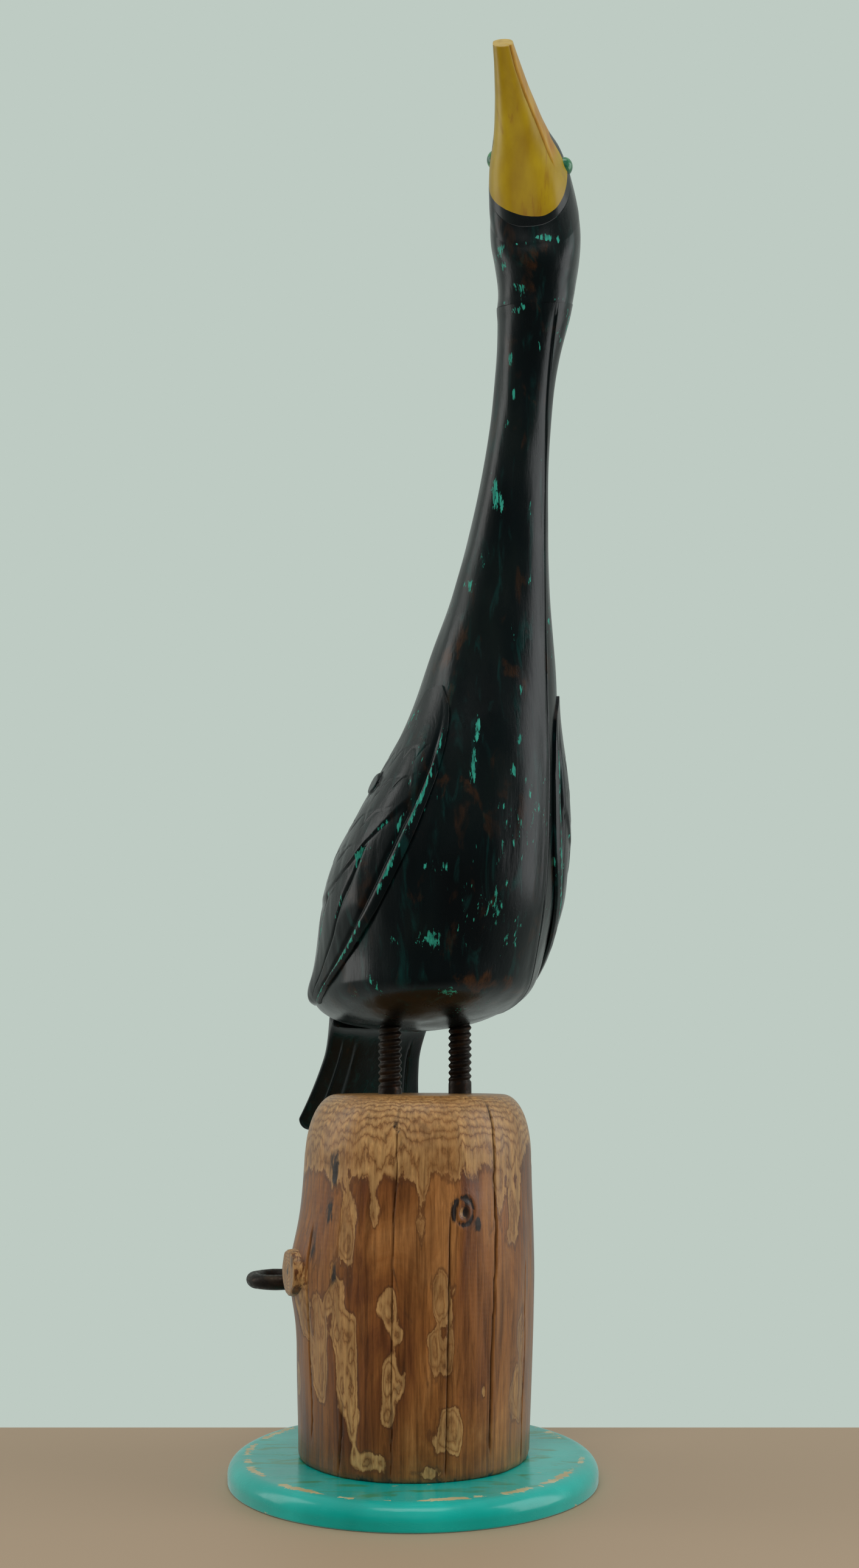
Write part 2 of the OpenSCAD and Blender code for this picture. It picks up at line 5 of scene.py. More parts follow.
import bpy
import numpy as np
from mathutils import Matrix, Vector


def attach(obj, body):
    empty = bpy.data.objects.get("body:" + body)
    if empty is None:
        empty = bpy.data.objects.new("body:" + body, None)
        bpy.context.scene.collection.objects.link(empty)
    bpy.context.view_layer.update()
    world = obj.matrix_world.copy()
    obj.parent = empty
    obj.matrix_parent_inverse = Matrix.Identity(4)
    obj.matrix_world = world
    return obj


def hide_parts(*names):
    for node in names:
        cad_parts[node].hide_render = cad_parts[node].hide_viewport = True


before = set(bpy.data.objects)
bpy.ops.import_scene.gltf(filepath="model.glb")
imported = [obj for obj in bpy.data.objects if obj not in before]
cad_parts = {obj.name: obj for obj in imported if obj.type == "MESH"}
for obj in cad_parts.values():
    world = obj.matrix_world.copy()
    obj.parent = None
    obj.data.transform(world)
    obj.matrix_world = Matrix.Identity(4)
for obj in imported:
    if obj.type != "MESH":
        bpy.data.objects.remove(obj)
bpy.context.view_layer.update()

scene = bpy.context.scene
MM = 0.001
BODY = "root"


def placed(name, data):
    """A new object in the scene."""
    obj = bpy.data.objects.new(name, data)
    scene.collection.objects.link(obj)
    return obj


# ---------- camera ----------

CAMERA_PLACE = (0.013, -1.200, 0.326)   # metres
LENS = 34.4                             # mm, for a sensor 36 mm wide
RISE = 0.1825                           # upward shift, as a share of the picture's longer side

camera_data = bpy.data.cameras.new("camera")
camera = placed("camera", camera_data)
camera.location = CAMERA_PLACE
camera.rotation_euler = (math.pi / 2, 0, 0)
camera_data.sensor_width = 36.0
camera_data.lens = LENS
camera_data.shift_y = RISE
camera_data.clip_start = 0.05
scene.camera = camera


# ---------- seeded noise ----------

class Noise:
    """Smooth 3-D value noise from -0.5 to 0.5, with the same values on each run."""

    def __init__(self, seed, cells=24):
        self.cells = cells
        self.grid = np.random.RandomState(seed).rand(cells, cells, cells) - 0.5

    def __call__(self, p, size):
        q = p / np.asarray(size, float) + 100.0
        i = np.floor(q).astype(int)
        f = q - i
        f = f * f * (3 - 2 * f)
        total = 0.0
        for corner in np.ndindex(2, 2, 2):
            cell = (i + corner) % self.cells
            value = self.grid[cell[..., 0], cell[..., 1], cell[..., 2]]
            share = np.where(corner, f, 1 - f)
            total = total + value * share[..., 0] * share[..., 1] * share[..., 2]
        return total


def step(a, b, x):
    """0 below a, 1 above b, smooth between them; a may be above b."""
    t = np.clip((x - a) / (b - a), 0, 1)
    return t * t * (3 - 2 * t)


def hump(x, middle, width):
    """1 at the middle, falling to about a third at the width."""
    return np.exp(-((x - middle) / width) ** 2)


def xyz(x, y, z):
    """Points from arrays of their coordinates."""
    return np.stack([x, y, z], axis=-1)


def full_turn(count):
    return np.linspace(0, 2 * math.pi, count, endpoint=False)


# ---------- grids to meshes ----------

def grid_normals(p, closed=True):
    """Outward normals of a grid whose columns run anticlockwise and whose rows run upwards."""
    du = np.gradient(p, axis=0)
    if closed:
        dv = (np.roll(p, -1, axis=1) - np.roll(p, 1, axis=1)) / 2
    else:
        dv = np.gradient(p, axis=1)
    n = np.cross(dv, du)
    return n / np.maximum(np.linalg.norm(n, axis=2, keepdims=True), 1e-9)


def grid_faces(rows, cols, start):
    """Quads of a closed grid whose first vertex is number start."""
    i, j = np.meshgrid(np.arange(rows - 1), np.arange(cols), indexing="ij")
    k = (j + 1) % cols
    quads = np.stack([i * cols + j, i * cols + k, (i + 1) * cols + k, (i + 1) * cols + j], axis=-1)
    return (quads.reshape(-1, 4) + start).tolist()


def grid_object(name, grids, material, nodes, attributes=None, sharp=50):
    """One object from closed grids of points in mm, with a fan over each end."""
    verts = []
    faces = []
    values = {key: [] for key in (attributes or {})}
    for g, p in enumerate(grids):
        rows, cols = p.shape[:2]
        start = sum(len(v) for v in verts)
        flat = p.reshape(-1, 3)
        faces += grid_faces(rows, cols, start)
        low = start + rows * cols
        high = low + 1
        top = start + (rows - 1) * cols
        faces += [[start + (j + 1) % cols, start + j, low] for j in range(cols)]
        faces += [[top + j, top + (j + 1) % cols, high] for j in range(cols)]
        verts.append(np.vstack([flat, [p[0].mean(axis=0), p[-1].mean(axis=0)]]))
        for key in values:
            v = np.broadcast_to(attributes[key][g], (rows, cols))
            values[key].append(v.reshape(-1))
            values[key].append(np.array([v[0].mean(), v[-1].mean()]))
    mesh = bpy.data.meshes.new(name)
    mesh.from_pydata((np.vstack(verts) * MM).tolist(), [], faces)
    mesh.polygons.foreach_set("use_smooth", [True] * len(mesh.polygons))
    mesh.set_sharp_from_angle(angle=math.radians(sharp))
    for key, parts in values.items():
        layer = mesh.attributes.new(key, "FLOAT", "POINT")
        layer.data.foreach_set("value", np.concatenate(parts).astype(np.float32))
    mesh.update()
    obj = placed(name, mesh)
    mesh.materials.append(material)
    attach(obj, BODY)
    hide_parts(*nodes)
    return obj


# ---------- materials ----------

class Look:
    """A principled material and short ways to add nodes to it."""

    def __init__(self, name):
        self.material = bpy.data.materials.new(name)
        self.material.use_nodes = True
        self.tree = self.material.node_tree
        self.tree.nodes.clear()
        self.shader = self.tree.nodes.new("ShaderNodeBsdfPrincipled")
        out = self.tree.nodes.new("ShaderNodeOutputMaterial")
        self.tree.links.new(self.shader.outputs[0], out.inputs[0])
        self.place = self.new("TexCoord", output="Object")

    def put(self, socket, value):
        if isinstance(value, bpy.types.NodeSocket):
            self.tree.links.new(value, socket)
        elif isinstance(value, tuple) and len(value) == 3 and socket.type == "RGBA":
            socket.default_value = (*value, 1.0)
        else:
            socket.default_value = value

    def new(self, kind, settings=None, inputs=None, output=0):
        node = self.tree.nodes.new("ShaderNode" + kind)
        for key, value in (settings or {}).items():
            setattr(node, key, value)
        for key, value in (inputs or {}).items():
            self.put(node.inputs[key], value)
        return node.outputs[output]

    def scaled(self, x, y, z):
        return self.new("Mapping", inputs={"Vector": self.place, "Scale": (x, y, z)})

    def noise(self, scale, detail=3.0, stretch=(1, 1, 1), distortion=0.0, roughness=0.55):
        return self.new("TexNoise", inputs={
            "Vector": self.scaled(*stretch), "Scale": scale, "Detail": detail,
            "Distortion": distortion, "Roughness": roughness})

    def maths(self, operation, a, b=0.0, clamp=False):
        return self.new("Math", {"operation": operation, "use_clamp": clamp}, {0: a, 1: b})

    def scaled_sum(self, a, factor, b):
        """The value a, times the factor, plus b."""
        return self.new("Math", {"operation": "MULTIPLY_ADD"}, {0: a, 1: factor, 2: b})

    def attribute(self, name):
        return self.new("Attribute", {"attribute_name": name}, output="Fac")

    def between(self, value, low, high, to_low=0.0, to_high=1.0):
        return self.new("MapRange", {"interpolation_type": "SMOOTHSTEP"}, {
            "Value": value, "From Min": low, "From Max": high, "To Min": to_low, "To Max": to_high})

    def mix(self, share, a, b, blend="MIX"):
        return self.new("Mix", {"data_type": "RGBA", "blend_type": blend, "clamp_factor": True},
                        {0: share, 6: a, 7: b}, output=2)

    def ramp(self, value, stops):
        node = self.tree.nodes.new("ShaderNodeValToRGB")
        elements = node.color_ramp.elements
        while len(elements) < len(stops):
            elements.new(0.5)
        for element, (position, colour) in zip(elements, stops):
            element.position = position
            element.color = (*colour, 1.0)
        self.put(node.inputs[0], value)
        return node.outputs[0]

    def worn(self, attribute, noise, edge=0.06):
        """Where a mark shows: a share equal to the attribute, broken up by the noise."""
        spread = self.between(noise, 0.30, 0.70, -0.45, 0.45)
        mark = self.maths("ADD", self.attribute(attribute), spread)
        return self.between(mark, 0.5 - edge, 0.5 + edge)

    def bump(self, height, strength, distance):
        return self.new("Bump", inputs={"Height": height, "Strength": strength,
                                        "Distance": distance})

    def finish(self, colour, roughness, normal=None, **constants):
        """Wires the shader up; the constants name its other sockets."""
        self.put(self.shader.inputs["Base Color"], colour)
        self.put(self.shader.inputs["Roughness"], roughness)
        if normal is not None:
            self.put(self.shader.inputs["Normal"], normal)
        for key, value in constants.items():
            self.shader.inputs[key.replace("_", " ")].default_value = value
        return self.material


TEAL = (0.004, 0.150, 0.115)
TEAL_LIGHT = (0.030, 0.400, 0.300)


def black_paint():
    look = Look("black_paint")
    broad = look.noise(22, 3, (1, 1, 0.35))
    fine = look.noise(300, 6, (1, 1, 0.16), 0.6, 0.70)
    speck = look.noise(420, 3, (1, 1, 0.3))
    black = look.ramp(broad, [(0.30, (0.0016, 0.0028, 0.0036)), (0.52, (0.0024, 0.0056, 0.0066)),
                              (0.70, (0.0050, 0.0095, 0.0090))])
    # Turquoise undercoat shows faintly through thin strokes everywhere
    thin = look.between(look.noise(95, 5, (1, 1, 0.2), 0.6), 0.54, 0.72, 0.0, 0.55)
    black = look.mix(thin, black, (0.003, 0.046, 0.043))
    brown = look.worn("brown", look.noise(60, 4, (1, 1, 0.5), 0.5), 0.22)
    rust = look.ramp(fine, [(0.3, (0.014, 0.006, 0.003)), (0.7, (0.075, 0.030, 0.010))])
    colour = look.mix(brown, black, rust)
    streaks = look.scaled_sum(fine, 0.65, look.maths("MULTIPLY", speck, 0.35))
    teal = look.worn("wear", streaks, 0.05)
    colour = look.mix(teal, colour, look.ramp(speck, [(0.35, TEAL), (0.65, TEAL_LIGHT)]))
    grain = look.scaled_sum(look.noise(700, 3, (1, 1, 0.08)), 0.5, fine)
    dents = look.scaled_sum(look.noise(75, 3, (1, 1, 0.45)), 1.6, grain)
    normal = look.bump(dents, 0.20, 0.0008)
    rough = look.between(look.noise(40, 4, (1, 1, 0.4)), 0.3, 0.7, 0.15, 0.32)
    rough = look.scaled_sum(teal, 0.22, rough)
    return look.finish(colour, rough, normal, Specular_IOR_Level=0.34, Coat_Weight=0.10,
                       Coat_Roughness=0.16)


def bill_paint():
    look = Look("bill_paint")
    streak = look.noise(150, 5, (1, 1, 0.10), 0.3)
    blotch = look.noise(45, 4, (1, 1, 0.5), 0.2)
    yellow = look.ramp(blotch, [(0.30, (0.320, 0.190, 0.003)), (0.52, (0.410, 0.270, 0.004)),
                                (0.72, (0.500, 0.350, 0.010))])
    stain = look.between(streak, 0.58, 0.74, 0.0, 0.50)
    yellow = look.mix(stain, yellow, (0.230, 0.070, 0.008))
    orange = look.ramp(streak, [(0.3, (0.400, 0.170, 0.020)), (0.6, (0.560, 0.330, 0.050))])
    colour = look.mix(look.attribute("upper"), yellow, orange)
    pale = look.ramp(streak, [(0.3, (0.480, 0.300, 0.030)), (0.7, (0.680, 0.470, 0.110))])
    colour = look.mix(look.attribute("tip"), colour, pale)
    # The mouth groove is painted dark brown: painted shade in the groove
    groove = look.maths("MULTIPLY", look.attribute("groove"), 0.65)
    colour = look.mix(groove, colour, (0.240, 0.100, 0.008))
    black = look.ramp(blotch, [(0.3, (0.004, 0.006, 0.007)), (0.7, (0.010, 0.015, 0.014))])
    hand = look.scaled_sum(look.noise(90, 4), 0.5, -0.25)
    painted = look.between(look.maths("ADD", look.attribute("black"), hand), 0.46, 0.54)
    colour = look.mix(painted, colour, black)
    brushed = look.scaled_sum(look.noise(500, 3, (1, 1, 0.1)), 0.6, streak)
    normal = look.bump(brushed, 0.12, 0.0006)
    rough = look.between(look.noise(70, 4, (1, 1, 0.4)), 0.3, 0.7, 0.34, 0.48)
    rough = look.scaled_sum(painted, -0.10, rough)
    return look.finish(colour, rough, normal, Specular_IOR_Level=0.45, Coat_Weight=0.15,
                       Coat_Roughness=0.22)


def log_wood():
    look = Look("log_wood")
    # Long vertical grain, tighter across than along
    grain = look.noise(260, 8, (1, 1, 0.050), 0.6, 0.70)
    coarse = look.noise(60, 6, (1, 1, 0.10), 0.8, 0.65)
    broad = look.noise(20, 6, (1, 1, 0.35), 0.9, 0.6)
    skin = look.ramp(broad, [(0.30, (0.115, 0.032, 0.009)), (0.43, (0.195, 0.066, 0.015)),
                             (0.55, (0.265, 0.100, 0.023)), (0.70, (0.370, 0.165, 0.050))])
    # Grey steps around the middle, which an overlay leaves as it is
    streak = look.ramp(coarse, [(0.36, (0.22, 0.19, 0.17)), (0.50, (0.50, 0.50, 0.50)),
                                (0.64, (0.72, 0.73, 0.72))])
    fibre = look.ramp(grain, [(0.36, (0.20, 0.18, 0.17)), (0.50, (0.50, 0.50, 0.50)),
                              (0.64, (0.76, 0.77, 0.76))])
    skin = look.mix(0.35, skin, streak, "OVERLAY")
    skin = look.mix(0.70, skin, fibre, "OVERLAY")
    # Planed and sanded places: rings show as lines at equal depths under the old surface
    depth = look.attribute("depth")
    wobble = look.noise(120, 4, (1, 1, 0.30), 0.6)
    jitter = look.noise(420, 3, (1, 1, 0.4), 0.4)
    phase = look.scaled_sum(wobble, 7.0, look.attribute("rings"))
    phase = look.scaled_sum(jitter, 2.2, phase)
    phase = look.scaled_sum(broad, 9.0, phase)
    line = look.maths("ABSOLUTE", look.maths("SINE", phase))
    ring = look.ramp(line, [(0.0, (0.190, 0.082, 0.026)), (0.30, (0.340, 0.168, 0.056)),
                            (1.0, (0.500, 0.290, 0.112))])
    ring = look.mix(look.between(broad, 0.35, 0.65, 0.0, 0.55), ring, (0.330, 0.155, 0.048))
    ring = look.mix(0.60, ring, fibre, "OVERLAY")
    ragged = look.scaled_sum(look.maths("SUBTRACT", wobble, 0.5), 2.4, depth)
    ragged = look.scaled_sum(look.maths("SUBTRACT", jitter, 0.5), 1.2, ragged)
    bare = look.between(ragged, 0.35, 0.60)
    colour = look.mix(bare, skin, ring)
    # A dark line of inner bark runs round each planed place
    border = look.maths("SUBTRACT", look.between(ragged, -0.15, 0.35), bare)
    border = look.maths("MULTIPLY", border, 0.6, clamp=True)
    colour = look.mix(border, colour, (0.100, 0.036, 0.012))
    # Real stains and knots darken the wood; the same mask also paints shade round the log's foot
    stain = look.worn("stain", look.noise(90, 6, (1, 1, 0.30), 0.8, 0.65), 0.20)
    colour = look.mix(stain, colour, (0.020, 0.011, 0.008))
    # The cracks are painted near black: painted shade in the cracks
    colour = look.mix(look.attribute("crack_and_shade"), colour, (0.012, 0.007, 0.004))
    chatter = look.new("TexWave", {"wave_type": "BANDS", "bands_direction": "Z"}, {
        "Vector": look.place, "Scale": 80.0, "Distortion": 2.5, "Detail": 2.0, "Detail Scale": 3.0})
    height = look.scaled_sum(line, 0.12, grain)
    height = look.scaled_sum(chatter, 0.08, height)
    height = look.scaled_sum(coarse, 1.2, height)
    normal = look.bump(height, 0.35, 0.0010)
    rough = look.between(grain, 0.3, 0.7, 0.30, 0.50)
    return look.finish(colour, rough, normal, Coat_Weight=0.25, Coat_Roughness=0.25)


def board_paint():
    look = Look("board_paint")
    broad = look.noise(14, 4)
    brush = look.noise(120, 5, (0.12, 1, 1), 0.2)
    paint = look.ramp(broad, [(0.30, (0.002, 0.390, 0.330)), (0.55, (0.004, 0.490, 0.420)),
                              (0.75, (0.012, 0.580, 0.500))])
    green = look.between(look.noise(60, 6, (0.30, 1, 1), 0.9), 0.53, 0.63, 0.0, 0.75)
    under = look.maths("MULTIPLY", green, look.attribute("flat"))
    paint = look.mix(under, paint, (0.035, 0.270, 0.100))
    chips = look.noise(150, 6, (0.45, 1, 1), 0.9, 0.65)
    cream = look.worn("wear", chips, 0.05)
    bare = look.ramp(look.noise(90, 3, (0.3, 1, 1)),
                     [(0.35, (0.520, 0.420, 0.200)), (0.65, (0.680, 0.640, 0.380))])
    colour = look.mix(cream, paint, bare)
    normal = look.bump(look.scaled_sum(cream, -0.5, brush), 0.10, 0.0010)
    rough = look.between(brush, 0.3, 0.7, 0.18, 0.30)
    rough = look.scaled_sum(cream, 0.2, rough)
    return look.finish(colour, rough, normal, Coat_Weight=0.35, Coat_Roughness=0.12)


def old_iron():
    look = Look("old_iron")
    broad = look.noise(60, 5)
    pit = look.noise(420, 4)
    metal = look.ramp(broad, [(0.3, (0.018, 0.014, 0.012)), (0.55, (0.040, 0.031, 0.026)),
                              (0.75, (0.075, 0.052, 0.036))])
    rust = look.between(look.noise(180, 5, distortion=0.5), 0.56, 0.70, 0.0, 0.6)
    colour = look.mix(rust, metal, (0.085, 0.034, 0.014))
    normal = look.bump(pit, 0.30, 0.0006)
    rough = look.between(pit, 0.3, 0.7, 0.34, 0.60)
    return look.finish(colour, rough, normal, Metallic=0.75)


def eye_paint():
    look = Look("eye_paint")
    blotch = look.noise(160, 4, distortion=0.6)
    colour = look.ramp(blotch, [(0.30, (0.010, 0.075, 0.065)), (0.48, (0.040, 0.210, 0.100)),
                                (0.64, (0.110, 0.370, 0.130)), (0.78, (0.220, 0.460, 0.200))])
    normal = look.bump(look.noise(600, 3), 0.12, 0.0004)
    rough = look.between(blotch, 0.3, 0.7, 0.16, 0.30)
    return look.finish(colour, rough, normal, Coat_Weight=0.5, Coat_Roughness=0.08)


def plain_wood():
    look = Look("plain_wood")
    grain = look.noise(260, 5, (1, 1, 0.1), 0.3)
    colour = look.ramp(grain, [(0.3, (0.340, 0.210, 0.105)), (0.7, (0.560, 0.400, 0.230))])
    normal = look.bump(grain, 0.2, 0.0005)
    return look.finish(colour, look.between(grain, 0.3, 0.7, 0.5, 0.7), normal)


def plain_steel():
    look = Look("plain_steel")
    scratch = look.noise(500, 4, (1, 1, 0.15))
    colour = look.ramp(scratch, [(0.3, (0.30, 0.29, 0.27)), (0.7, (0.52, 0.50, 0.47))])
    normal = look.bump(scratch, 0.1, 0.0003)
    return look.finish(colour, look.between(scratch, 0.3, 0.7, 0.26, 0.42), normal, Metallic=0.95)


BLACK = black_paint()
BILL = bill_paint()
LOG = log_wood()
BOARD = board_paint()
IRON = old_iron()
EYE = eye_paint()
WOOD = plain_wood()
STEEL = plain_steel()

# Hidden dowels and screws and the eye beads keep their CAD shapes
for node_name, look in {
    "base_screws": STEEL, "tail_screws": STEEL, "body_dowels": WOOD, "wing_dowels": WOOD,
    "neck_dowel": WOOD, "bill_dowel": WOOD, "right_eye": EYE, "left_eye": EYE,
}.items():
    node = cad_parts[node_name]
    node.data.materials.clear()
    node.data.materials.append(look)


# ---------- sizes shared with the CAD model ----------

BASE_T = 20.0
POST_H = 287.0
POST_TOP = BASE_T + POST_H
BELLY_Z = POST_TOP + 50.0
BODY_H = 550.0
LEG_MID = np.array([9.6, 9.0])
BODY_TURN = math.radians(70)
RIGHT, LEFT = -1, 1


def to_world(p):
    """Bird's frame to the row frame: X forward, Y to the bird's left."""
    c, s = math.cos(BODY_TURN), math.sin(BODY_TURN)
    return xyz(LEG_MID[0] + p[..., 0] * c + p[..., 1] * s,
               LEG_MID[1] - p[..., 0] * s + p[..., 1] * c,
               p[..., 2])


def curve(table, x, column):
    """Hermite curve through the rows of a table, as in the CAD source."""
    t = np.asarray(table, float)
    x = np.asarray(x, float)
    before = np.maximum(np.arange(len(t)) - 1, 0)
    after = np.minimum(np.arange(len(t)) + 1, len(t) - 1)
    slope = (t[after, column] - t[before, column]) / (t[after, 0] - t[before, 0])
    i = np.clip(np.searchsorted(t[:, 0], x, side="right") - 1, 0, len(t) - 2)
    span = t[i + 1, 0] - t[i, 0]
    k = np.clip((x - t[i, 0]) / span, 0, 1)
    return (t[i, column] * (1 + 2 * k) * (1 - k) ** 2 + slope[i] * span * k * (1 - k) ** 2
            + t[i + 1, column] * k * k * (3 - 2 * k) - slope[i + 1] * span * k * k * (1 - k))


def section(angle, p, q, n):
    """Points of a rounded oval: half sizes p and q, squareness n (2 is an ellipse)."""
    c, s = np.cos(angle), np.sin(angle)
    return p * np.sign(c) * np.abs(c) ** (2 / n), q * np.sign(s) * np.abs(s) ** (2 / n)


def frame_of(rows, cols):
    """Two arrays of a grid: the row's value and the column's value."""
    return np.meshgrid(rows, cols, indexing="ij")


def turned(angle, middle):
    """Signed difference of two angles in degrees."""
    return (angle - middle + 180) % 360 - 180


def arc(degrees, radius):
    """Length in mm of an arc given in degrees."""
    return degrees * math.radians(1) * radius


def black_piece(name, node, world, wear, brown):
    return grid_object(name, [world], BLACK, [node],
                       {"wear": [wear], "brown": [brown]}, sharp=60)


# ---------- base board ----------

BASE_R = 148.0
EDGE_R = 13.0
# Chips round the upper edge: angle from -Y towards +X, half length in degrees, strength
CHIPS = [
    [-64, 9, 0.90], [-38, 11, 0.95], [-20, 4, 0.55], [-8, 3, 0.5], [10, 10, 0.95],
    [22, 3, 0.5], [35, 8, 0.85], [47, 3, 0.6], [57, 9, 1.00], [70, 4, 0.6], [80, 6, 0.6],
    [-80, 5, 0.6], [-95, 10, 0.75], [-122, 15, 0.85], [118, 8, 0.5], [160, 10, 0.6],
    [-160, 7, 0.6],
]


def make_base():
    noise = Noise(3)
    bevel = 1.5
    profile = [(r, 0.0) for r in np.linspace(4, BASE_R - bevel, 20)]
    profile += [(BASE_R - bevel * (1 - math.sin(a)), bevel * (1 - math.cos(a)))
                for a in np.linspace(0.3, 1.5, 4)]
    profile += [(BASE_R, z) for z in np.linspace(2.2, BASE_T - EDGE_R, 5)]
    profile += [(BASE_R - EDGE_R * (1 - math.cos(a)), BASE_T - EDGE_R * (1 - math.sin(a)))
                for a in np.radians(np.arange(4, 91, 4))]
    profile += [(r, BASE_T) for r in np.linspace(BASE_R - EDGE_R - 2, 4, 55)]
    profile = np.array(profile)
    index, angle = frame_of(np.arange(len(profile)), full_turn(360))
    r, z = profile[index, 0], profile[index, 1]
    p = xyz(r * np.cos(angle), r * np.sin(angle), z)
    n = grid_normals(p)
    hand = noise(p, (38, 38, 14)) * 0.5 + noise(p, (9, 9, 6)) * 0.12
    side = (z > 0.5) & (z < BASE_T + 1)
    p = p + n * (np.where(side, hand, 0) - 0.35)[..., None]
    p[..., 2] = np.maximum(p[..., 2], 0)
    # Rubbed through to cream where the rounding begins
    chips = noise(p, (34, 34, 34)) + 0.45 * noise(p, (12, 12, 12))
    wear = 0.30 * hump(r, BASE_R - EDGE_R - 1, 3.0) * step(0.0, 0.35, chips)
    for place, half, strength in CHIPS:
        off = turned(np.degrees(angle) + 90, place)
        across = BASE_R - EDGE_R - 2 + 3.5 * noise(p, (16, 16, 16))
        chip = strength * step(half, half * 0.6, np.abs(off)) * hump(r, across, 3.4)
        wear = np.maximum(wear, chip)
    wear = wear * (z > BASE_T - 5)
    inner = (z > BASE_T - 1) * (r < BASE_R - EDGE_R)
    wear = wear + inner * step(0.15, 0.45, chips) * 0.34
    low_edge = hump(z, 1.0, 1.2) * step(0.1, 0.4, chips) * 0.3
    return grid_object("base_board", [p], BOARD, ["base_disc"],
                       {"wear": [wear + low_edge], "flat": [inner.astype(float)]}, sharp=70)


# ---------- log ----------

ROUND_H = 50.0
SHOULDER_Z = POST_H - ROUND_H
STUB_Z = 149.0
STUB_TURN = math.radians(180 + 20)
STUB_R = 17.3
STUB_END = 105.8
STUB_RINGS = (26, 18)           # along the stub and over its sawn face
# Height, shift of the axis towards +X, radius
POST_TABLE = [
    [0, 0, 93.0],
    [STUB_Z, 2, 95.0],
    [SHOULDER_Z, 4, 91.5],
    [POST_H, 5, 91.5],
]
FLAT_R = 67.0
# Long drying cracks: angle in degrees from -Y towards +X, foot and top height, width, wander
CRACKS = [
    [-10, 0, 287, 0.3, 0.8],
    [16, 0, 204, 0.6, 1.4],
    [39.5, 16, 287, 1.0, 1.6],
    [-58, 20, 190, 0.5, 2.0],
    [-36, 0, 60, 0.5, 1.5],
    [66, 0, 160, 0.5, 2.0],
    [120, 0, 287, 2.4, 2.0],
    [178, 60, 250, 1.0, 2.0],
    [-130, 0, 220, 1.4, 2.0],
]
# Planed patches: angle, height, half width in degrees, half height, depth
PATCHES = [
    [-35, 104, 9, 72, 3.2], [-30, 60, 6, 40, 2.4], [-33, 206, 6, 34, 1.9], [-11, 127, 7, 22, 3.4],
    [-11.5, 74, 8, 36, 4.6], [12.5, 141, 8, 34, 3.4], [10.5, 112, 4, 26, 2.4],
    [9.5, 93, 7, 24, 3.0], [15.5, 38, 9, 22, 3.8], [-50, 95, 10, 58, 3.6], [-62, 120, 8, 40, 2.6],
    [-20, 205, 4, 40, 1.7], [3, 200, 3, 40, 1.8], [53, 200, 8, 44, 2.4], [44, 210, 4, 30, 1.8],
    [58, 54, 8, 28, 2.6], [62, 110, 5, 30, 2.0], [34, 66, 2.5, 14, 2.2], [-22, 14, 14, 10, 2.2],
    [5, 8, 16, 6, 2.0], [28, 105, 3, 16, 1.8], [80, 150, 8, 40, 1.8], [100, 120, 9, 60, 2.6],
    [150, 70, 9, 46, 3.2], [135, 215, 9, 26, 2.6], [-100, 90, 8, 60, 2.8], [-75, 60, 8, 40, 2.4],
    [-150, 160, 9, 50, 2.8], [-175, 60, 8, 36, 2.6],
]
# Knots: angle, height, radius
KNOTS = [[22, 201, 8.5], [-10.5, 263, 2.4], [141, 150, 13.0], [-112, 228, 8.0]]
# Stains: angle, height, half width in degrees, half height, strength
STAINS = [[-43, 226, 3.0, 20, 0.85], [-45, 196, 2.5, 10, 0.75], [30, 192, 1.6, 6, 0.85],
          [-62, 150, 5, 16, 0.35], [-40, 150, 2, 20, 0.35], [-9, 150, 1.5, 30, 0.2]]


def post_radius(z):
    side = curve(POST_TABLE, z, 2)
    k = np.clip((z - SHOULDER_Z) / ROUND_H, 0, 1)
    return np.where(z < SHOULDER_Z, side, FLAT_R + (side - FLAT_R) * np.sqrt(1 - k * k))


